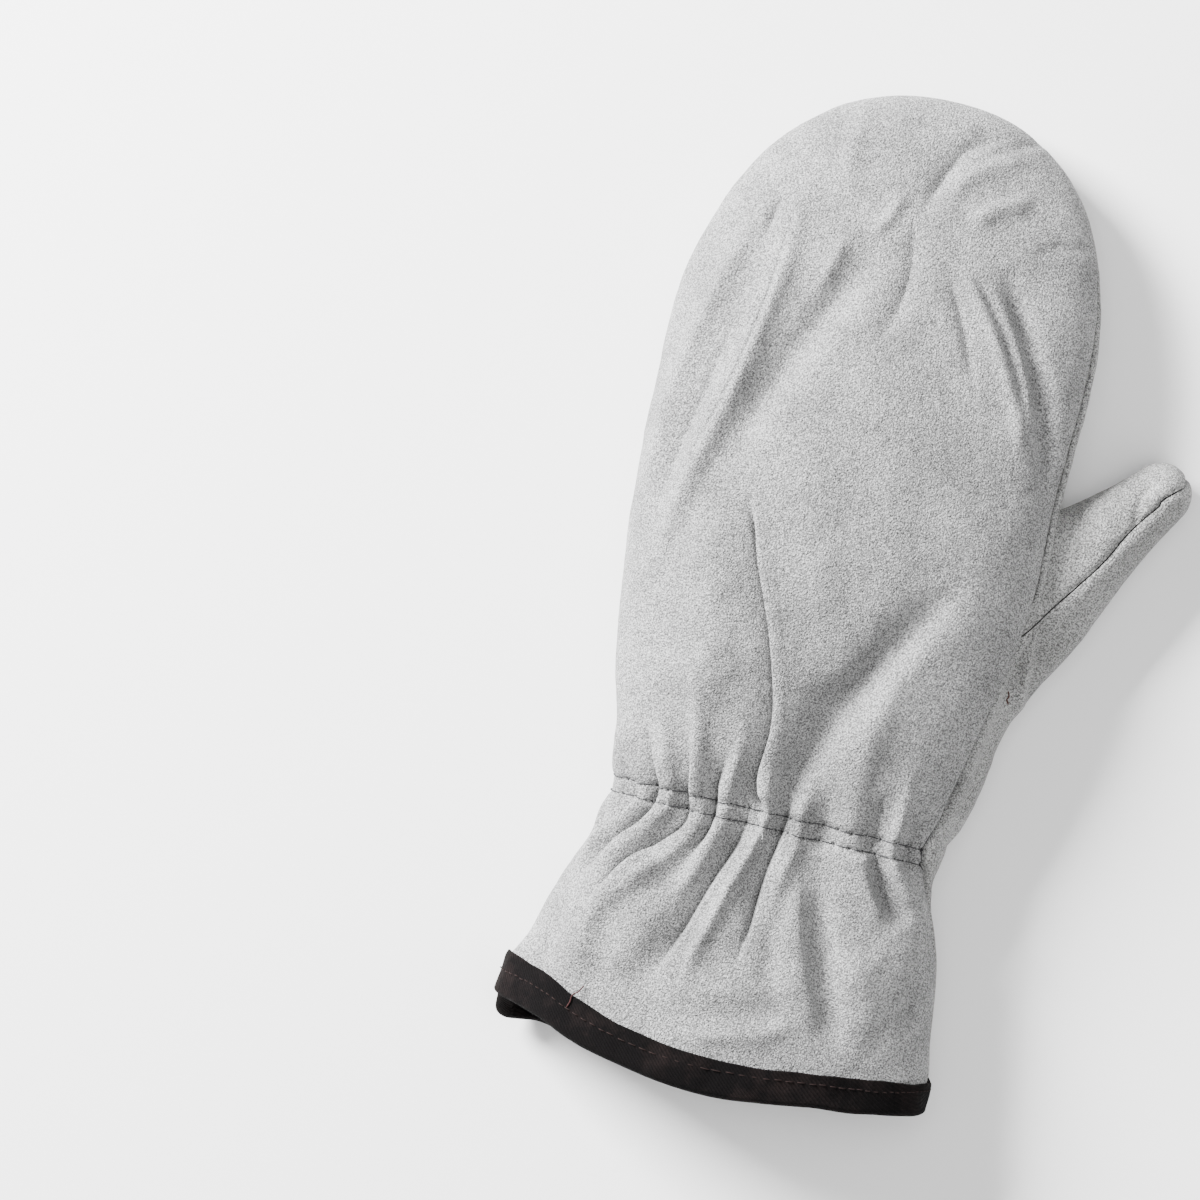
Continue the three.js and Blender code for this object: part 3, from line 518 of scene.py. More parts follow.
def crease_relief(x, y):
    """The sharp folds at points in plan: height, and the sideways shift of the lips over their valleys."""
    height, shift = np.zeros(x.shape), np.zeros((*x.shape, 2))
    for depth, push, fade_in, fade_out, points in CREASES:
        near, distance, share, heading = beside(x, y, points, CREASE_REACH)
        ends = smooth(share / fade_in) * smooth((1 - share) / fade_out)
        half = np.where(distance < 0, CREASE_LEFT, CREASE_RIGHT)
        valley = -np.exp(-(np.abs(distance / half) ** CREASE_POWER))
        lip = LIP_HEIGHT * np.exp(-(((distance - LIP_AT) / LIP_WIDTH) ** 2))
        height[near] += depth * ends * (valley + lip)
        pushed = push * ends * np.exp(-(((distance - LIP_AT) / PUSH_WIDTH) ** 2))
        shift[near] += pushed[:, None] * np.stack([-heading[:, 1], heading[:, 0]], -1)
    return height, shift


def leaned(x, y):
    """The sideways shift of the sharp folds' lips, in space."""
    shift = crease_relief(x.ravel(), y.ravel())[1]
    return np.concatenate([shift, np.zeros((len(shift), 1))], 1).reshape(*x.shape, 3)


def lowest(values, reach):
    """The lowest value within reach rows and columns of each place."""
    rows, columns = values.shape
    padded = np.pad(values, reach, mode="edge")
    shifts = range(2 * reach + 1)
    down = np.min([padded[start : start + rows] for start in shifts], axis=0)
    return np.min([down[:, start : start + columns] for start in shifts], axis=0)


def ripples(x, y, size, seed):
    """Smooth random heights between -1 and 1 with features of one size."""
    cells = 64
    values = np.random.default_rng(seed).uniform(-1, 1, (cells, cells))
    gx, gy = x / size, y / size
    ix, iy = np.floor(gx).astype(int), np.floor(gy).astype(int)
    fx, fy = smooth(gx - ix), smooth(gy - iy)
    near, far = ix % cells, (ix + 1) % cells
    low, high = iy % cells, (iy + 1) % cells
    bottom = values[near, low] * (1 - fx) + values[far, low] * fx
    top = values[near, high] * (1 - fx) + values[far, high] * fx
    return bottom * (1 - fy) + top * fy


def wrinkles(x, y, seed):
    """The fine unevenness of soft suede."""
    fine = 0.1 * ripples(x + 0.3 * y, y, 3.1, seed) + 0.16 * ripples(x, y - 0.4 * x, 6.5, seed + 1)
    return fine + 0.35 * ripples(x, y * 0.6, 14, seed + 2)


def elastic_holes():
    """Places in plan of the stitch holes of the two rows."""
    rng = np.random.default_rng(5)
    rows = []
    for level in ELASTIC_ROWS:
        count = int((ELASTIC_TO - ELASTIC_FROM) / ELASTIC_STITCH)
        x = np.linspace(ELASTIC_FROM, ELASTIC_TO, count + 1) + rng.uniform(-0.5, 0.5, count + 1)
        rows.append(np.stack([x, level + ELASTIC_SLOPE * x + rng.uniform(-0.28, 0.28, count + 1)], -1))
    return rows


def elastic_relief(x, y):
    """How far the elastic draws the leather in: a band, two grooves and the dimples of the stitches."""
    middle = sum(ELASTIC_ROWS) / 2 + ELASTIC_SLOPE * x
    total = -ELASTIC_DRAW * np.exp(-(((y - middle) / ELASTIC_BAND) ** 2)) * smooth((ELASTIC_TO - x) / 6)
    for holes in elastic_holes():
        groove = y - np.interp(x, holes[:, 0], holes[:, 1])
        total -= GROOVE_DEPTH * np.exp(-((groove / GROOVE_WIDTH) ** 2))
        near = np.abs(groove) < 4
        gap = np.hypot(x[near][:, None] - holes[:, 0], y[near][:, None] - holes[:, 1]).min(1)
        total[near] -= DIMPLE_DEPTH * np.exp(-((gap / DIMPLE_WIDTH) ** 2))
    return total


def back_relief(x, y, up):
    """Height of the back's folds. up is the share of the section's height above its rim."""
    shape = x.shape
    x, y, up = x.ravel(), y.ravel(), up.ravel()
    drawn = GATHER_STRENGTH * stroke_relief(x, y, ELASTIC_STROKES)
    drawn += FOLD_STRENGTH * stroke_relief(x, y, BACK_STROKES)
    drawn += crease_relief(x, y)[0]
    total = (drawn + elastic_relief(x, y)) * smooth((up + 0.08) / 0.35) + wrinkles(x, y, 11)
    total *= smooth((MITT_LENGTH - 1 - y) / 8)
    return total.reshape(shape)


def rolled(distance):
    """How far the leather rolls in beside a seam."""
    t = np.clip(1 - distance / SEAM_ROLL_WIDTH, 0, 1)
    return SEAM_ROLL * (1 - np.sqrt(1 - t**2))


def thumb_seam(places):
    """The seam between palm and thumb panel at places along it: its x and y at the floor and at its top."""
    ends = ("x", "y"), ("top_x", "top_y")
    lines = (np.stack([lookup(THUMB_SEAM, "number", places, name) for name in names], -1) for names in ends)
    return [line * (HALF_PALM, MITT_LENGTH) for line in lines]


def thumb_seam_distance(points):
    """Distance in plan from the seam between palm and thumb panel, at each point's own height."""
    low, high = thumb_seam(np.linspace(0, len(THUMB_SEAM["x"]) - 1.5, 220))
    flat = points.reshape(-1, 3)
    found = []
    for part in np.array_split(flat, max(1, len(flat) // 4000)):
        share = np.clip(part[:, 2] / THUMB_SEAM_LEVEL, 0, 1)[:, None, None]
        gap = part[:, None, :2] - (low + (high - low) * share)
        found.append(np.hypot(gap[..., 0], gap[..., 1]).min(1))
    return np.concatenate(found).reshape(points.shape[:-1])


def lower_relief(points, normals):
    """Height of the folds of the palm side: on the floor side they only lift the leather off the floor."""
    x, y, z = (points[..., axis].ravel() for axis in range(3))
    upward = smooth((normals[..., 2].ravel() + 0.25) / 0.4)
    floor = stroke_relief(x, y, PALM_STROKES) - 0.25 + 0.25 * ripples(x, y, 9, 31)
    above = stroke_relief(x, y, THUMB_STROKES) + wrinkles(x, y + z, 23)
    return (floor * (1 - upward) + above * upward).reshape(points.shape[:-1])


def shown(points):
    """Points of the mitt's own frame in metres in the frame of the part."""
    return (np.asarray(points) - ORIGIN) * MM


def make_mesh(name, points, faces):
    mesh = bpy.data.meshes.new(name)
    mesh.from_pydata(shown(points).tolist(), [], faces)
    work = bmesh.new()
    work.from_mesh(mesh)
    bmesh.ops.remove_doubles(work, verts=work.verts, dist=1e-6)
    bmesh.ops.triangulate(work, faces=work.faces, quad_method="SHORT_EDGE")
    bmesh.ops.recalc_face_normals(work, faces=work.faces)
    work.to_mesh(mesh)
    work.free()
    made = bpy.data.objects.new(name, mesh)
    bpy.context.scene.collection.objects.link(made)
    return made


def grid_faces(rows, columns, first=0):
    corner = first + (np.arange(rows - 1)[:, None] * columns + np.arange(columns - 1)).ravel()
    return np.stack([corner, corner + 1, corner + columns + 1, corner + columns], -1).tolist()


def border(rows, columns, first=0):
    """The vertices round the edge of a grid, in order."""
    number = first + np.arange(rows * columns).reshape(rows, columns)
    return np.concatenate([number[0, :-1], number[:-1, -1], number[-1, :0:-1], number[:0:-1, 0]])


def wall(name, outer, inner, step):
    """A closed wall between an outer grid and an inner one that keeps every step-th row and column."""
    rows, columns = outer.shape[:2]
    few_rows, few_columns = inner.shape[:2]
    faces = grid_faces(rows, columns)
    first = rows * columns
    faces += [face[::-1] for face in grid_faces(few_rows, few_columns, first)]
    fine, coarse = border(rows, columns), border(few_rows, few_columns, first)
    for index, (here, beyond) in enumerate(zip(coarse, np.roll(coarse, -1))):
        run = [fine[(index * step + extra) % len(fine)] for extra in range(step + 1)]
        middle = step // 2
        faces += [[int(here), int(b), int(a)] for a, b in zip(run[:middle], run[1 : middle + 1])]
        faces.append([int(here), int(beyond), int(run[middle])])
        faces += [[int(beyond), int(b), int(a)] for a, b in zip(run[middle:-1], run[middle + 1 :])]
    points = np.concatenate([outer.reshape(-1, 3), inner.reshape(-1, 3)])
    return make_mesh(name, points, faces)


def tube_faces(rings, count):
    here = (np.arange(rings - 1)[:, None] * count + np.arange(count)).ravel()
    following = (np.arange(rings - 1)[:, None] * count + (np.arange(count) + 1) % count).ravel()
    return np.stack([here, here + count, following + count, following], -1).tolist()


def capped_faces(rings, count):
    """Faces of a tube with a fan over each end, to the two points that follow its rings."""
    faces = tube_faces(rings, count)
    first, last = rings * count, (rings - 1) * count
    for step in range(count):
        following = (step + 1) % count
        faces += [[first, step, following], [first + 1, last + following, last + step]]
    return faces


def ring_solid(name, rings):
    """A closed solid through rings of points."""
    points = np.concatenate([rings.reshape(-1, 3), rings[[0, -1]].mean(1)])
    return make_mesh(name, points, capped_faces(*rings.shape[:2]))


def combine(target, tool, operation):
    """Changes target by a join, cut or overlap with tool."""
    modifier = target.modifiers.new("combine", "BOOLEAN")
    modifier.operation = operation
    modifier.solver = "MANIFOLD"
    modifier.object = tool
    evaluated = target.evaluated_get(bpy.context.evaluated_depsgraph_get())
    mesh = bpy.data.meshes.new_from_object(evaluated)
    target.modifiers.clear()
    target.data = mesh
    return target


def duplicate(source, name):
    made = bpy.data.objects.new(name, source.data.copy())
    bpy.context.scene.collection.objects.link(made)
    return made


def discard(*objects):
    for made in objects:
        bpy.data.objects.remove(made)


def stations():
    """Distances of the rows of the dense grids from the hem."""
    straight = MITT_LENGTH - TIP_LENGTH
    hem = np.linspace(0, BINDING_WIDTH, 9)[:-1]
    cuff = np.linspace(BINDING_WIDTH, 61, 46)[:-1]
    elastic = np.linspace(61, 77, 29)[:-1]
    gathered = np.linspace(77, 112, 36)[:-1]
    plain = np.linspace(112, straight, 62)[:-1]
    angle = np.linspace(0, TIP_END, 68) * math.pi / 2
    tip = straight + TIP_LENGTH * np.sin(angle) ** (2 / TIP_SQUARENESS)
    return np.concatenate([hem, cuff, elastic, gathered, plain, tip])


def even_turns(reach, start, end, columns, crowd=0.0):
    """Turns from start to end at even distances along each row, or crowded towards its ends."""
    fine = start[:, None] + (end - start)[:, None] * np.linspace(0, 1, 600)
    points = hand_point(fine, reach[:, None])
    step = np.linalg.norm(np.diff(points, axis=1), axis=-1)
    run = np.concatenate([np.zeros((len(reach), 1)), np.cumsum(step, 1)], 1)
    even = np.linspace(0, 1, columns)
    share = even * (1 - crowd) + (1 - np.cos(even * math.pi)) / 2 * crowd
    turn = np.stack([np.interp(share * length[-1], length, row) for length, row in zip(run, fine)])
    return turn, share * run[:, -1:]


def trimmed(values, step):
    """Rows cut to a whole number of steps and one, keeping the last."""
    extra = (len(values) - 1) % step
    return np.concatenate([values[: len(values) - 1 - extra], values[-1:]]) if extra else values


def hand_grid(reach, start, end, columns, crowd=0.0):
    """A panel's grid between two seams: points, directions outwards and distances from the nearer seam."""
    turn, run = even_turns(reach, start + HALF_GAP_TURN, end - HALF_GAP_TURN, columns, crowd)
    reach = reach[:, None]
    return hand_point(turn, reach), hand_normal(turn, reach), np.minimum(run, run[:, -1:] - run)


def back_panel(step=4, columns=373):
    """The back of the hand, its folds on the outside and a smoother inside."""
    reach = trimmed(stations(), step)
    base, normal, edge = hand_grid(reach, seam_turn(reach, 1), seam_turn(reach, -1), columns)
    x, y = base[..., 0], base[..., 1]
    relief = back_relief(x, y, height_share(base))
    depth = rolled(edge)[..., None]
    outer = base + normal * (relief[..., None] - depth) + leaned(x, y)
    inner = base + normal * (np.minimum(lowest(relief, step), 0.5)[..., None] - WALL - INNER_ROLL * depth)
    outer[..., 2] = np.maximum(outer[..., 2], BACK_LOWEST)
    return wall("suede_back", outer, inner[::step, ::step], step)


def lower_hand(step=4, columns=181):
    """The palm's half of the hand, from the little-finger side under the palm to the thumb side."""
    reach = trimmed(stations()[::2], step)
    base, normal, edge = hand_grid(reach, seam_turn(reach, -1), 1 + seam_turn(reach, 1), columns, 0.7)
    relief = lower_relief(base, normal)
    depth = rolled(edge) + rolled(thumb_seam_distance(base))
    depth += rolled(np.abs(base[..., 1] - CROSS_SEAM_AT)) * (base[..., 0] < CROSS_SEAM_TO)
    outer = base + normal * (relief - depth)[..., None]
    inner = base - normal * (WALL + INNER_ROLL * depth - np.minimum(relief, 0))[..., None]
    outer[..., 2] = np.maximum(outer[..., 2], 0)
    return wall("lower_hand", outer, inner[::step, ::step], step)


def thumb_point(turn, place, inset):
    """Points of the thumb's surface. place counts the rows of its sections and one more for the tip."""
    column = {name: lookup(THUMB_SECTIONS, "number", place, name) for name in THUMB_SECTIONS}
    end = np.maximum(0, place - THUMB_SECTIONS["number"][-1])
    narrow = np.sqrt(np.maximum(0, 1 - end**2))
    heading = np.radians(column["turn"])
    forward = end * (THUMB_TIP - inset)
    angle = turn * 2 * math.pi
    across, up = (power(part, 2 / THUMB_ROUND) for part in (np.cos(angle), np.sin(angle)))
    width = np.where(across > 0, column["outer"], column["inner"]) * THUMB_WIDTH
    half = (width - inset) * narrow
    level = THUMB_LEVEL * THUMB_HEIGHT * column["top"]
    depth = np.where(turn <= 0.5, column["top"] * THUMB_HEIGHT - level, level * PALM_PRESS) - inset
    x = column["x"] * HALF_PALM + half * across * np.cos(heading) + forward * np.sin(heading)
    y = column["y"] * MITT_LENGTH - half * across * np.sin(heading) + forward * np.cos(heading)
    z = level + depth * narrow * up
    return np.stack([x, y, np.maximum(z, inset)], -1)


def thumb_solid(name, inset, rows, count):
    """The thumb as one solid: with its folds where inset is 0, and plain and smaller by inset otherwise."""
    last = THUMB_SECTIONS["number"][-1]
    body = np.linspace(0, last, rows)
    tip = last + np.sin(np.linspace(0, math.pi / 2, rows // 4)[1:-1])
    place = np.concatenate([body, tip])[:, None]
    turn = (np.arange(count) / count)[None, :]
    base = thumb_point(*np.broadcast_arrays(turn, place), inset)
    if inset:
        return ring_solid(name, base)
    around = np.roll(base, -1, 1) - np.roll(base, 1, 1)
    along = np.gradient(base, axis=0)
    normal = -unit(np.cross(around, along))
    relief = lower_relief(base, normal) - rolled(thumb_seam_distance(base))
    points = base + normal * relief[..., None]
    points[..., 2] = np.maximum(points[..., 2], 0)
    return ring_solid(name, points)


def hand_inside():
    """The room inside the hand, as one solid."""
    reach = np.concatenate([[-BINDING_WIDTH], stations()[::6]])
    reach = reach[reach < MITT_LENGTH - WALL]
    turn = np.linspace(0, 1, 97)[:-1]
    return ring_solid("hand_inside", hand_point(turn[None, :], reach[:, None], WALL))


def thumb_side(away):
    """Everything on the thumb's side of the seam between palm and thumb panel, from a distance beyond it."""
    low, high = thumb_seam(np.linspace(0, len(THUMB_SEAM["x"]) - 1, 161))
    levels = np.array([-1, 0, 0.2, 0.4, 0.6, 0.8, 1, 2.5]) * THUMB_SEAM_LEVEL
    rings = []
    for height in levels:
        line = low + (high - low) * np.clip(height / THUMB_SEAM_LEVEL, 0, 1)
        step = unit(np.gradient(line, axis=0))
        line = line + away * np.stack([step[:, 1], -step[:, 0]], -1)
        ring = np.column_stack([line, np.full(len(line), height)])
        rings.append(np.concatenate([ring, [[FAR, -FAR, height]]]))
    rings = np.array(rings)
    count = rings.shape[1]
    top = (len(levels) - 1) * count
    faces = tube_faces(len(levels), count)
    faces += [[count - 1, step + 1, step] for step in range(count - 2)]
    faces += [[top + count - 1, top + step, top + step + 1] for step in range(count - 2)]
    return make_mesh("thumb_side", rings.reshape(-1, 3), faces)


def slab(start, end):
    """Everything between two distances from the side of the hem."""
    corners = [(x, y, z) for x in (-FAR, FAR) for y in (start, end) for z in (-FAR, FAR)]
    faces = [[0, 1, 3, 2], [4, 6, 7, 5], [0, 4, 5, 1], [2, 3, 7, 6], [0, 2, 6, 4], [1, 5, 7, 3]]
    return make_mesh("slab", np.array(corners, float), faces)


def rolled_lip():
    """The palm's edge where it stands rolled out of the back's seam above the thumb."""
    reach = np.linspace(PALM_LIP_FROM, PALM_LIP_TO, 180)
    turn = seam_turn(reach, 1) - (SEAM_GAP + PALM_LIP_RADIUS) / (math.pi * PALM_WIDTH)
    share = np.linspace(0, 1, len(reach))
    sink = PALM_LIP_SINK - PALM_LIP_SINK * smooth(share / 0.06) * smooth((1 - share) / 0.3)
    points, faces = tube(hem_point(turn, reach, sink), PALM_LIP_RADIUS, 14)
    return make_mesh("rolled_lip", points, faces)


def vertex_values(mesh, kind):
    """A row of three numbers for each vertex, such as its place or its normal."""
    values = np.zeros(len(mesh.vertices) * 3)
    mesh.vertices.foreach_get(kind, values)
    return values.reshape(-1, 3)


def pinch(made):
    """Presses the pinch below the thumb's seam into the upper surface of a piece."""
    mesh = made.data
    points, normals = vertex_values(mesh, "co") / MM + ORIGIN, vertex_values(mesh, "normal")
    above = smooth(normals[:, 2] / 0.3 + 0.2) * (points[:, 2] > PINCH_ABOVE)
    relief = above * stroke_relief(points[:, 0], points[:, 1], PINCH_STROKES)
    mesh.vertices.foreach_set("co", shown(points + normals * relief[:, None]).ravel())
    mesh.update()


def lower_panels():
    """The palm, the palm's cuff and the thumb panel, cut from the lower hand joined with the thumb."""
    lower = lower_hand()
    outer = thumb_solid("thumb_outer", 0, 150, 150)
    inner = thumb_solid("thumb_inner", WALL, 40, 40)
    inside = hand_inside()
    combine(outer, inner, "DIFFERENCE")
    combine(outer, inside, "DIFFERENCE")
    combine(lower, inner, "DIFFERENCE")
    combine(lower, outer, "UNION")
    smooth_crease(lower, thumb_root())
    pinch(lower)
    lip = rolled_lip()
    combine(lower, lip, "UNION")
    discard(outer, inner, inside, lip)
    thumb = duplicate(lower, "suede_thumb")
    near, far = thumb_side(SEAM_GAP / 2), thumb_side(-SEAM_GAP / 2)
    combine(thumb, near, "INTERSECT")
    combine(lower, far, "DIFFERENCE")
    cuff = duplicate(lower, "suede_palm_cuff")
    beyond, before = slab(CROSS_SEAM_AT + SEAM_GAP / 2, FAR), slab(-FAR, CROSS_SEAM_AT - SEAM_GAP / 2)
    combine(lower, beyond, "INTERSECT")
    combine(cuff, before, "INTERSECT")
    discard(near, far, beyond, before)
    lower.name = "suede_palm"
    return lower, cuff, thumb


def hem_point(turn, reach, depth):
    """Points at a depth below the outer surface of the leather near the hem, negative outside it."""
    base, normal = hand_point(turn, reach), hand_normal(turn, np.maximum(reach, 0.5))
    up = height_share(base)
    upper = smooth((up + 0.02) / 0.1)
    relief = upper * back_relief(base[..., 0], base[..., 1], up) + (1 - upper) * lower_relief(base, normal)
    points = base + normal * (relief - depth)[..., None]
    points[..., 2] = np.maximum(points[..., 2], 0.02)
    return points


def tape_profile():
    """The folded tape in section: reach from the hem and depth below the leather's surface."""
    out, under = -BINDING_CLEARANCE - BINDING_THICKNESS, WALL + 0.7
    upper = BINDING_WIDTH - BINDING_CLEARANCE
    middle, radius = (under + BINDING_THICKNESS + out) / 2, (under + BINDING_THICKNESS - out) / 2
    profile = [(upper, out + 0.75), (upper, out + 0.3), (upper - 0.25, out + 0.05)]
    profile += [(reach, out) for reach in np.linspace(upper - 1, 0.6, 14)]
    for angle in np.linspace(0, math.pi, 13):
        profile.append((-radius * 0.62 * math.sin(angle), middle - radius * math.cos(angle)))
    deep = under + BINDING_THICKNESS
    profile += [(reach, deep) for reach in np.linspace(0.6, upper, 8)]
    profile += [(upper, under), (0.4, under), (-0.35, under - 0.5), (-0.35, 0.1), (0.4, -BINDING_CLEARANCE)]
    profile.append((upper, -BINDING_CLEARANCE))
    return np.array(profile)


def tape(columns=640):
    """The tape round the hem, with uneven edges and a little waviness."""
    turn = even_turns(np.array([5.0]), np.array([0.0]), np.array([1.0]), columns + 1)[0][0, :-1]
    along = turn * 2 * math.pi * 60
    flat = np.zeros_like(along)
    wave = 0.22 * ripples(along, flat, 9, 41) + 0.13 * ripples(along, flat, 4, 42)
    lower_edge = 0.5 * ripples(along, flat + 7, 13, 43)
    upper_edge = 0.35 * ripples(along, flat + 3, 8, 44)
    width = lookup(HEM, "turn", turn, "width")
    rings = []
    for reach, depth in tape_profile():
        share = np.clip(reach / BINDING_WIDTH, 0, 1)
        shifted = np.where(reach > 0, reach * width, reach) + upper_edge * share + lower_edge * (1 - share)
        outward = wave * math.sin(math.pi * share) if depth < 0 else 0
        rings.append(hem_point(turn, shifted, depth - outward))
    rings = np.array(rings)
    rows, count = rings.shape[:2]
    faces = tube_faces(rows, count)
    last = (rows - 1) * count
    for step in range(count):
        following = (step + 1) % count
        faces.append([last + step, step, following, last + following])
    return make_mesh("hem_tape", rings.reshape(-1, 3), faces)


def tube(path, radius, sides=7):
    """Points and faces of one closed thread along a path."""
    path = np.asarray(path)
    heading = unit(np.gradient(path, axis=0))
    helper = np.array([0.0, 0.0, 1.0]) if abs(heading[:, 2]).max() < 0.9 else np.array([1.0, 0.0, 0.0])
    side = unit(np.cross(heading, helper))
    up = np.cross(side, heading)
    angle = np.arange(sides) / sides * 2 * math.pi
    ends = np.ones(len(path))
    ends[[0, -1]] = 0.55
    ring = np.cos(angle)[None, :, None] * side[:, None] + np.sin(angle)[None, :, None] * up[:, None]
    rings = path[:, None] + ring * (radius * ends)[:, None, None]
    points = np.concatenate([rings.reshape(-1, 3), path[[0, -1]]])
    return points, capped_faces(len(path), sides)


def threads(name, paths):
    """One object of many short threads, each a path and a radius."""
    points, faces = [], []
    for path, radius in paths:
        more, around = tube(path, radius)
        start = sum(len(part) for part in points)
        points.append(more)
        faces += [[start + corner for corner in face] for face in around]
    return make_mesh(name, np.concatenate(points), faces)


def elastic_stitches():
    """The two rows at the elastic: dark threads, whose darkness is partly painted shade of their grooves, and
    a dark plug in each hole painted as the hole's shade.
    """
    paths = []
    dip = np.array([0.3, -0.2, -0.32, -0.32, -0.2, 0.3])
    for holes in elastic_holes():
        for start, end in zip(holes[:-1], holes[1:]):
            place = start + (end - start) * np.linspace(0.04, 0.96, len(dip))[:, None]
            turn = back_turn(place[:, 0], place[:, 1])
            paths.append((hem_point(turn, place[:, 1], dip) + leaned(place[:, 0], place[:, 1]), THREAD))
        turn = back_turn(holes[:, 0], holes[:, 1])
        over, under = (
            hem_point(turn, holes[:, 1], depth) + leaned(holes[:, 0], holes[:, 1]) for depth in (-0.5, 0.5)
        )
        # A short dark plug through each hole: painted shade in place of the hole's shadow
        paths += [(np.linspace(low, high, 4), HOLE_SHADE_PLUG) for low, high in zip(under, over)]
    return threads("elastic_stitches", paths)


def seam_thread_and_painted_shade():
    """The dark thread in the back's seam beside the thumb: partly the seam's real stitches and partly painted
    shade, standing in for the shadow in the seam's gap.
    """
    reach = np.linspace(56, 232, 160)
    turn = seam_turn(reach, 1)
    return threads("seam_thread_and_painted_shade", [(hem_point(turn, reach, 1.15), SEAM_THREAD)])


def tape_stitches():
    """The stitches along the middle of the tape."""
    rng = np.random.default_rng(9)
    count = 118
    turns = (np.arange(count) + rng.uniform(-0.1, 0.1, count)) / count
    paths = []
    surface = BINDING_CLEARANCE + BINDING_THICKNESS
    dip = surface + np.array([-0.3, 0.05, 0.16, 0.16, 0.05, -0.3])
    for start in turns:
        place = start + np.linspace(0.12, 0.88, len(dip)) / count
        level = 6.0 + 0.35 * math.sin(start * 37) + rng.uniform(-0.15, 0.15)
        path = hem_point(place, np.full(len(dip), level), -dip)
        path[:, 2] = np.maximum(path[:, 2], THREAD)
        paths.append((path, THREAD))
    return threads("tape_stitches", paths)


def loose_thread(name, points, heights, radius):
    """A loose end lying on the surface, from x, y points and heights above the leather."""
    line = smooth_line(points, 6)
    lift = np.interp(np.linspace(0, 1, len(line)), np.linspace(0, 1, len(heights)), heights)
    turn = back_turn(line[:, 0], line[:, 1])
    return threads(name, [(hem_point(turn, line[:, 1] - hem_shift(turn), -lift), radius)])


def fibre(name, made, points, radius):
    """A loose fibre lying on a finished piece, at x, y points."""
    path = []
    for x, y in smooth_line(points, 6):
        _, place, _, _ = made.ray_cast(Vector(shown((x, y, FAR))), Vector((0, 0, -1)))
        path.append(np.array(place) / MM + ORIGIN + (0, 0, 0.15))
    return threads(name, [(path, radius)])


def thumb_root():
    """Points near the line where the thumb leaves the hand."""
    turn, place = np.meshgrid(np.arange(160) / 160, np.linspace(0.2, 5.5, 160))
    points = thumb_point(turn, place, 0).reshape(-1, 3)
    points = points[points[:, 2] > 1]
    shape = section(points[:, 1])
    depth, squareness = half_section(shape, points[:, 2] > shape.rim)
    out = np.abs(points[:, 0] - shape.middle) / shape.half
    up = np.abs(points[:, 2] - shape.rim) / depth
    return points[np.abs(out**squareness + up**squareness - 1) < 0.03]


def nearest_gap(points, others):
    """Distance of each point, in metres, from the nearest of others, in millimetres."""
    tree = KDTree(len(others))
    for index, other in enumerate(shown(others)):
        tree.insert(other, index)
    tree.balance()
    return np.array([tree.find(point)[2] for point in points]) / MM


def smooth_crease(made, near_points, reach=5.0, rounds=30):
    """Rounds the line where the thumb leaves the hand, and leaves the edge at the back's seam as it is."""
    mesh = made.data
    points = vertex_values(mesh, "co")
    count = len(points)
    along = np.linspace(40, 200, 200)
    edge = nearest_gap(points, hem_point(seam_turn(along, 1), along, 0.8))
    weight = smooth(1 - nearest_gap(points, near_points) / reach) * smooth((edge - 2.2) / 2.5)
    weight = weight[:, None] * 0.6
    edges = np.zeros(len(mesh.edges) * 2, int)
    mesh.edges.foreach_get("vertices", edges)
    a, b = edges.reshape(-1, 2).T
    degree = np.bincount(a, minlength=count) + np.bincount(b, minlength=count)
    for _ in range(rounds):
        total = np.zeros_like(points)
        np.add.at(total, a, points[b])
        np.add.at(total, b, points[a])
        points += weight * (total / np.maximum(degree, 1)[:, None] - points)
    mesh.vertices.foreach_set("co", points.ravel())
    mesh.update()


def node(tree, kind, values=None, **settings):
    made = tree.nodes.new(kind)
    for key, value in settings.items():
        setattr(made, key, value)
    for key, value in (values or {}).items():
        made.inputs[key].default_value = value
    return made


def noise(tree, vector, scale, detail, roughness=0.55):
    made = node(tree, "ShaderNodeTexNoise", {"Scale": scale, "Detail": detail, "Roughness": roughness})
    tree.links.new(vector, made.inputs["Vector"])
    return made.outputs["Fac"]


def ramp(tree, factor, stops):
    made = node(tree, "ShaderNodeValToRGB")
    while len(made.color_ramp.elements) < len(stops):
        made.color_ramp.elements.new(0.5)
    for element, (position, color) in zip(made.color_ramp.elements, stops):
        element.position = position
        element.color = (*color, 1)
    tree.links.new(factor, made.inputs["Fac"])
    return made.outputs["Color"]


def greys(*stops):
    """Stops of a ramp from greys."""
    return [(position, (grey,) * 3) for position, grey in stops]


def blend(tree, mode, factor, first, second):
    made = node(tree, "ShaderNodeMix", data_type="RGBA", blend_type=mode)
    made.inputs["Factor"].default_value = factor
    tree.links.new(first, made.inputs["A"])
    tree.links.new(second, made.inputs["B"])
    return made.outputs["Result"]


def bump(tree, height, strength, distance, normal=None):
    made = node(tree, "ShaderNodeBump", {"Strength": strength, "Distance": distance})
    tree.links.new(height, made.inputs["Height"])
    if normal is not None:
        tree.links.new(normal, made.inputs["Normal"])
    return made.outputs["Normal"]


def material(name, **values):
    made = bpy.data.materials.new(name)
    made.use_nodes = True
    tree = made.node_tree
    shader = tree.nodes["Principled BSDF"]
    for key, value in values.items():
        shader.inputs[key.replace("_", " ")].default_value = value
    return made, tree, shader


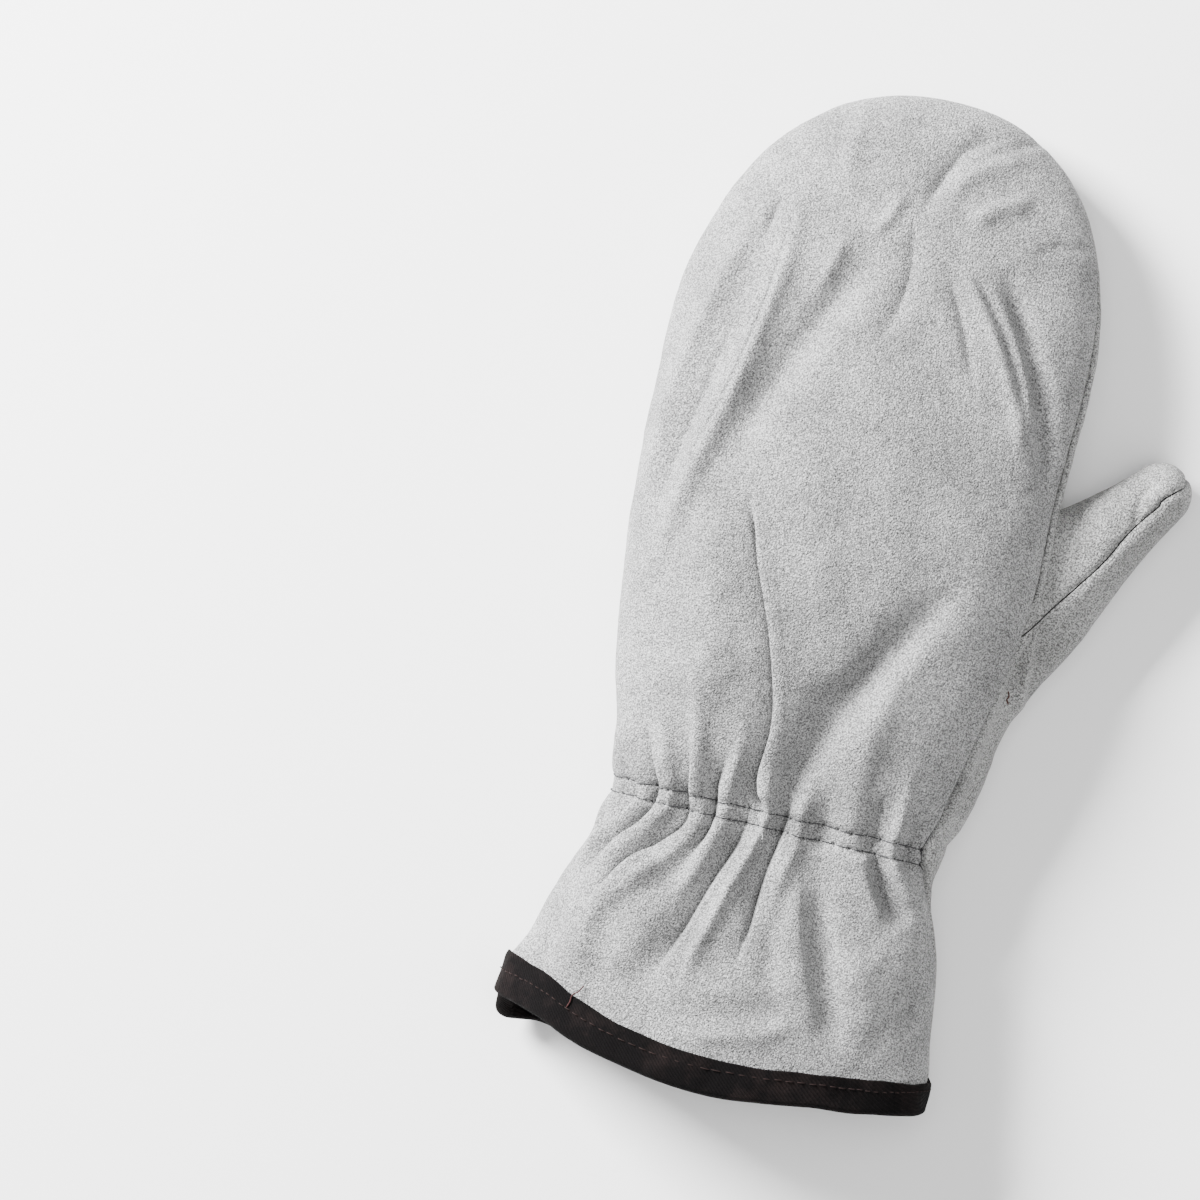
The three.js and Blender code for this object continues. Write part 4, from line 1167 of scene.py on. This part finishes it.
def suede(name, light, dark):
    """Brushed split leather: a pale ground, darker clouds, and a short nap that catches the light."""
    values = {"Roughness": 0.95, "Specular_IOR_Level": 0.2, "Sheen_Weight": 0.12, "Sheen_Roughness": 0.4}
    made, tree, shader = material(name, **values)
    place = node(tree, "ShaderNodeTexCoord").outputs["Object"]
    clouds = ramp(tree, noise(tree, place, 45, 5, 0.6), [(0.35, dark), (0.62, light)])
    nap = ramp(tree, noise(tree, place, 2100, 2), greys((0.36, 0.28), (0.5, 0.93), (0.62, 1.7)))
    flecks = ramp(tree, noise(tree, place, 520, 3, 0.7), greys((0.3, 0.72), (0.52, 1.0), (0.75, 1.15)))
    color = blend(tree, "MULTIPLY", 0.9, clouds, nap)
    color = blend(tree, "MULTIPLY", 0.7, color, flecks)
    tree.links.new(color, shader.inputs["Base Color"])
    coarse = bump(tree, noise(tree, place, 420, 3), 0.5, 0.0008)
    fine = bump(tree, noise(tree, place, 1900, 2), 1.0, 0.0008, coarse)
    tree.links.new(fine, shader.inputs["Normal"])
    return made


def twill(name):
    """Dark cotton tape: fine slanting ribs, worn browner in patches."""
    made, tree, shader = material(name, Roughness=0.95, Specular_IOR_Level=0.1)
    place = node(tree, "ShaderNodeTexCoord").outputs["Object"]
    values = {"Scale": 520, "Distortion": 1.2, "Detail": 2, "Detail Scale": 2}
    ribs = node(tree, "ShaderNodeTexWave", values, bands_direction="DIAGONAL")
    tree.links.new(place, ribs.inputs["Vector"])
    black, brown = (0.0018, 0.0013, 0.0014), (0.013, 0.0085, 0.008)
    worn = ramp(tree, noise(tree, place, 90, 5, 0.65), [(0.45, black), (0.8, brown)])
    lines = ramp(tree, ribs.outputs["Fac"], greys((0.2, 0.55), (0.8, 1.0)))
    fibres = ramp(tree, noise(tree, place, 1700, 2), greys((0.3, 0.7), (0.7, 1.3)))
    color = blend(tree, "MULTIPLY", 0.8, worn, lines)
    color = blend(tree, "MULTIPLY", 0.7, color, fibres)
    tree.links.new(color, shader.inputs["Base Color"])
    surface = bump(tree, ribs.outputs["Fac"], 0.5, 0.0003)
    tree.links.new(bump(tree, noise(tree, place, 1500, 2), 0.4, 0.0003, surface), shader.inputs["Normal"])
    return made


def cotton(name, color):
    """Sewing thread."""
    made, tree, shader = material(name, Roughness=0.85, Specular_IOR_Level=0.2)
    place = node(tree, "ShaderNodeTexCoord").outputs["Object"]
    light = tuple(part * 1.5 for part in color)
    shades = ramp(tree, noise(tree, place, 900, 2), [(0.35, color), (0.65, light)])
    tree.links.new(shades, shader.inputs["Base Color"])
    return made


def finish(made, look, slot, *nodes):
    """Gives a piece its material and shading, and says what carries it and what it replaces; slot is not
    used.
    """
    made.data.materials.clear()
    made.data.materials.append(look)
    made.data.polygons.foreach_set("use_smooth", [True] * len(made.data.polygons))
    made.data.set_sharp_from_angle(angle=SHARP_ANGLE)
    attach(made, "root")
    if nodes:
        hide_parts(*nodes)


# The camera looks straight down, turned as in the photograph
FOCUS = Vector((-0.0490, -0.0282, 0.018))
VIEW_WIDTH = 0.348
ROLL = math.radians(13)
LENS = 240
SENSOR = 36
camera = bpy.data.objects.new("camera", bpy.data.cameras.new("camera"))
bpy.context.scene.collection.objects.link(camera)
camera.data.lens = LENS
camera.data.sensor_width = SENSOR
camera.location = FOCUS + Vector((0, 0, VIEW_WIDTH * LENS / SENSOR))
camera.rotation_euler = Euler((0, 0, ROLL))
bpy.context.scene.camera = camera


def lamp(name, place, size, power):
    """A square lamp that faces the middle of the scene."""
    light = bpy.data.lights.new(name, "AREA")
    light.size = size
    light.energy = power
    made = bpy.data.objects.new(name, light)
    made.location = place
    made.rotation_euler = (Vector((0, 0, 0)) - Vector(place)).to_track_quat("-Z", "Y").to_euler()
    bpy.context.scene.collection.objects.link(made)


lamp("key", (-1.2, 0.6, 0.72), 0.6, 174)
lamp("fill", (0.9, -0.5, 1.2), 1.4, 8)
lamp("top", (0.1, 0.1, 1.7), 1.2, 14)
world = bpy.data.worlds.new("studio")
world.use_nodes = True
world.node_tree.nodes["Background"].inputs["Color"].default_value = (1, 1, 1, 1)
world.node_tree.nodes["Background"].inputs["Strength"].default_value = 0.55
bpy.context.scene.world = world

bpy.ops.mesh.primitive_plane_add(size=8)
floor = bpy.context.object
floor.name = "floor"
paint, _, floor_shader = material("floor_paint", Roughness=0.9)
floor_shader.inputs["Base Color"].default_value = (0.97, 0.97, 0.97, 1)
floor.data.materials.append(paint)

back = back_panel()
palm, palm_cuff, thumb = lower_panels()
binding = tape()
elastic = elastic_stitches()
side_seam_thread_and_shade = seam_thread_and_painted_shade()
hem_stitches = tape_stitches()
tail = loose_thread("thread_tail", TAIL, TAIL_HEIGHTS, 0.2)
speck = fibre("brown_fibre", thumb, FIBRE, 0.22)

pale = suede("back_suede", (0.28, 0.28, 0.28), (0.195, 0.195, 0.195))
# The palm, the palm's cuff and the thumb panel take a lighter copy of the back's suede: painted light,
# standing in for the stronger light that falls on the thumb's side.
palm_suede_painted_lighter = suede("palm_suede_painted_lighter", (0.322, 0.322, 0.318), (0.235, 0.235, 0.231))
finish(back, pale, "back_leather", "back_panel")
finish(palm, palm_suede_painted_lighter, "palm_leather", "palm_panel")
finish(palm_cuff, palm_suede_painted_lighter, "palm_leather", "palm_cuff_panel")
finish(thumb, palm_suede_painted_lighter, "palm_leather", "thumb_panel")
finish(binding, twill("twill_tape"), "binding_tape", "cuff_binding")
# Dark thread colour, partly real thread and partly painted shade: the elastic's stitch lines, the plugs in
# its holes and the thread in the back's seam
grey = cotton("dark_thread_and_painted_shade", (0.03, 0.03, 0.032))
finish(elastic, grey, "back_leather")
finish(side_seam_thread_and_shade, grey, "back_leather")
brown = cotton("brown_thread", (0.01, 0.005, 0.0045))
finish(hem_stitches, brown, "binding_tape")
finish(tail, cotton("red_thread", (0.03, 0.01, 0.01)), "binding_tape")
finish(speck, cotton("brown_fibre", (0.05, 0.025, 0.02)), "palm_leather")
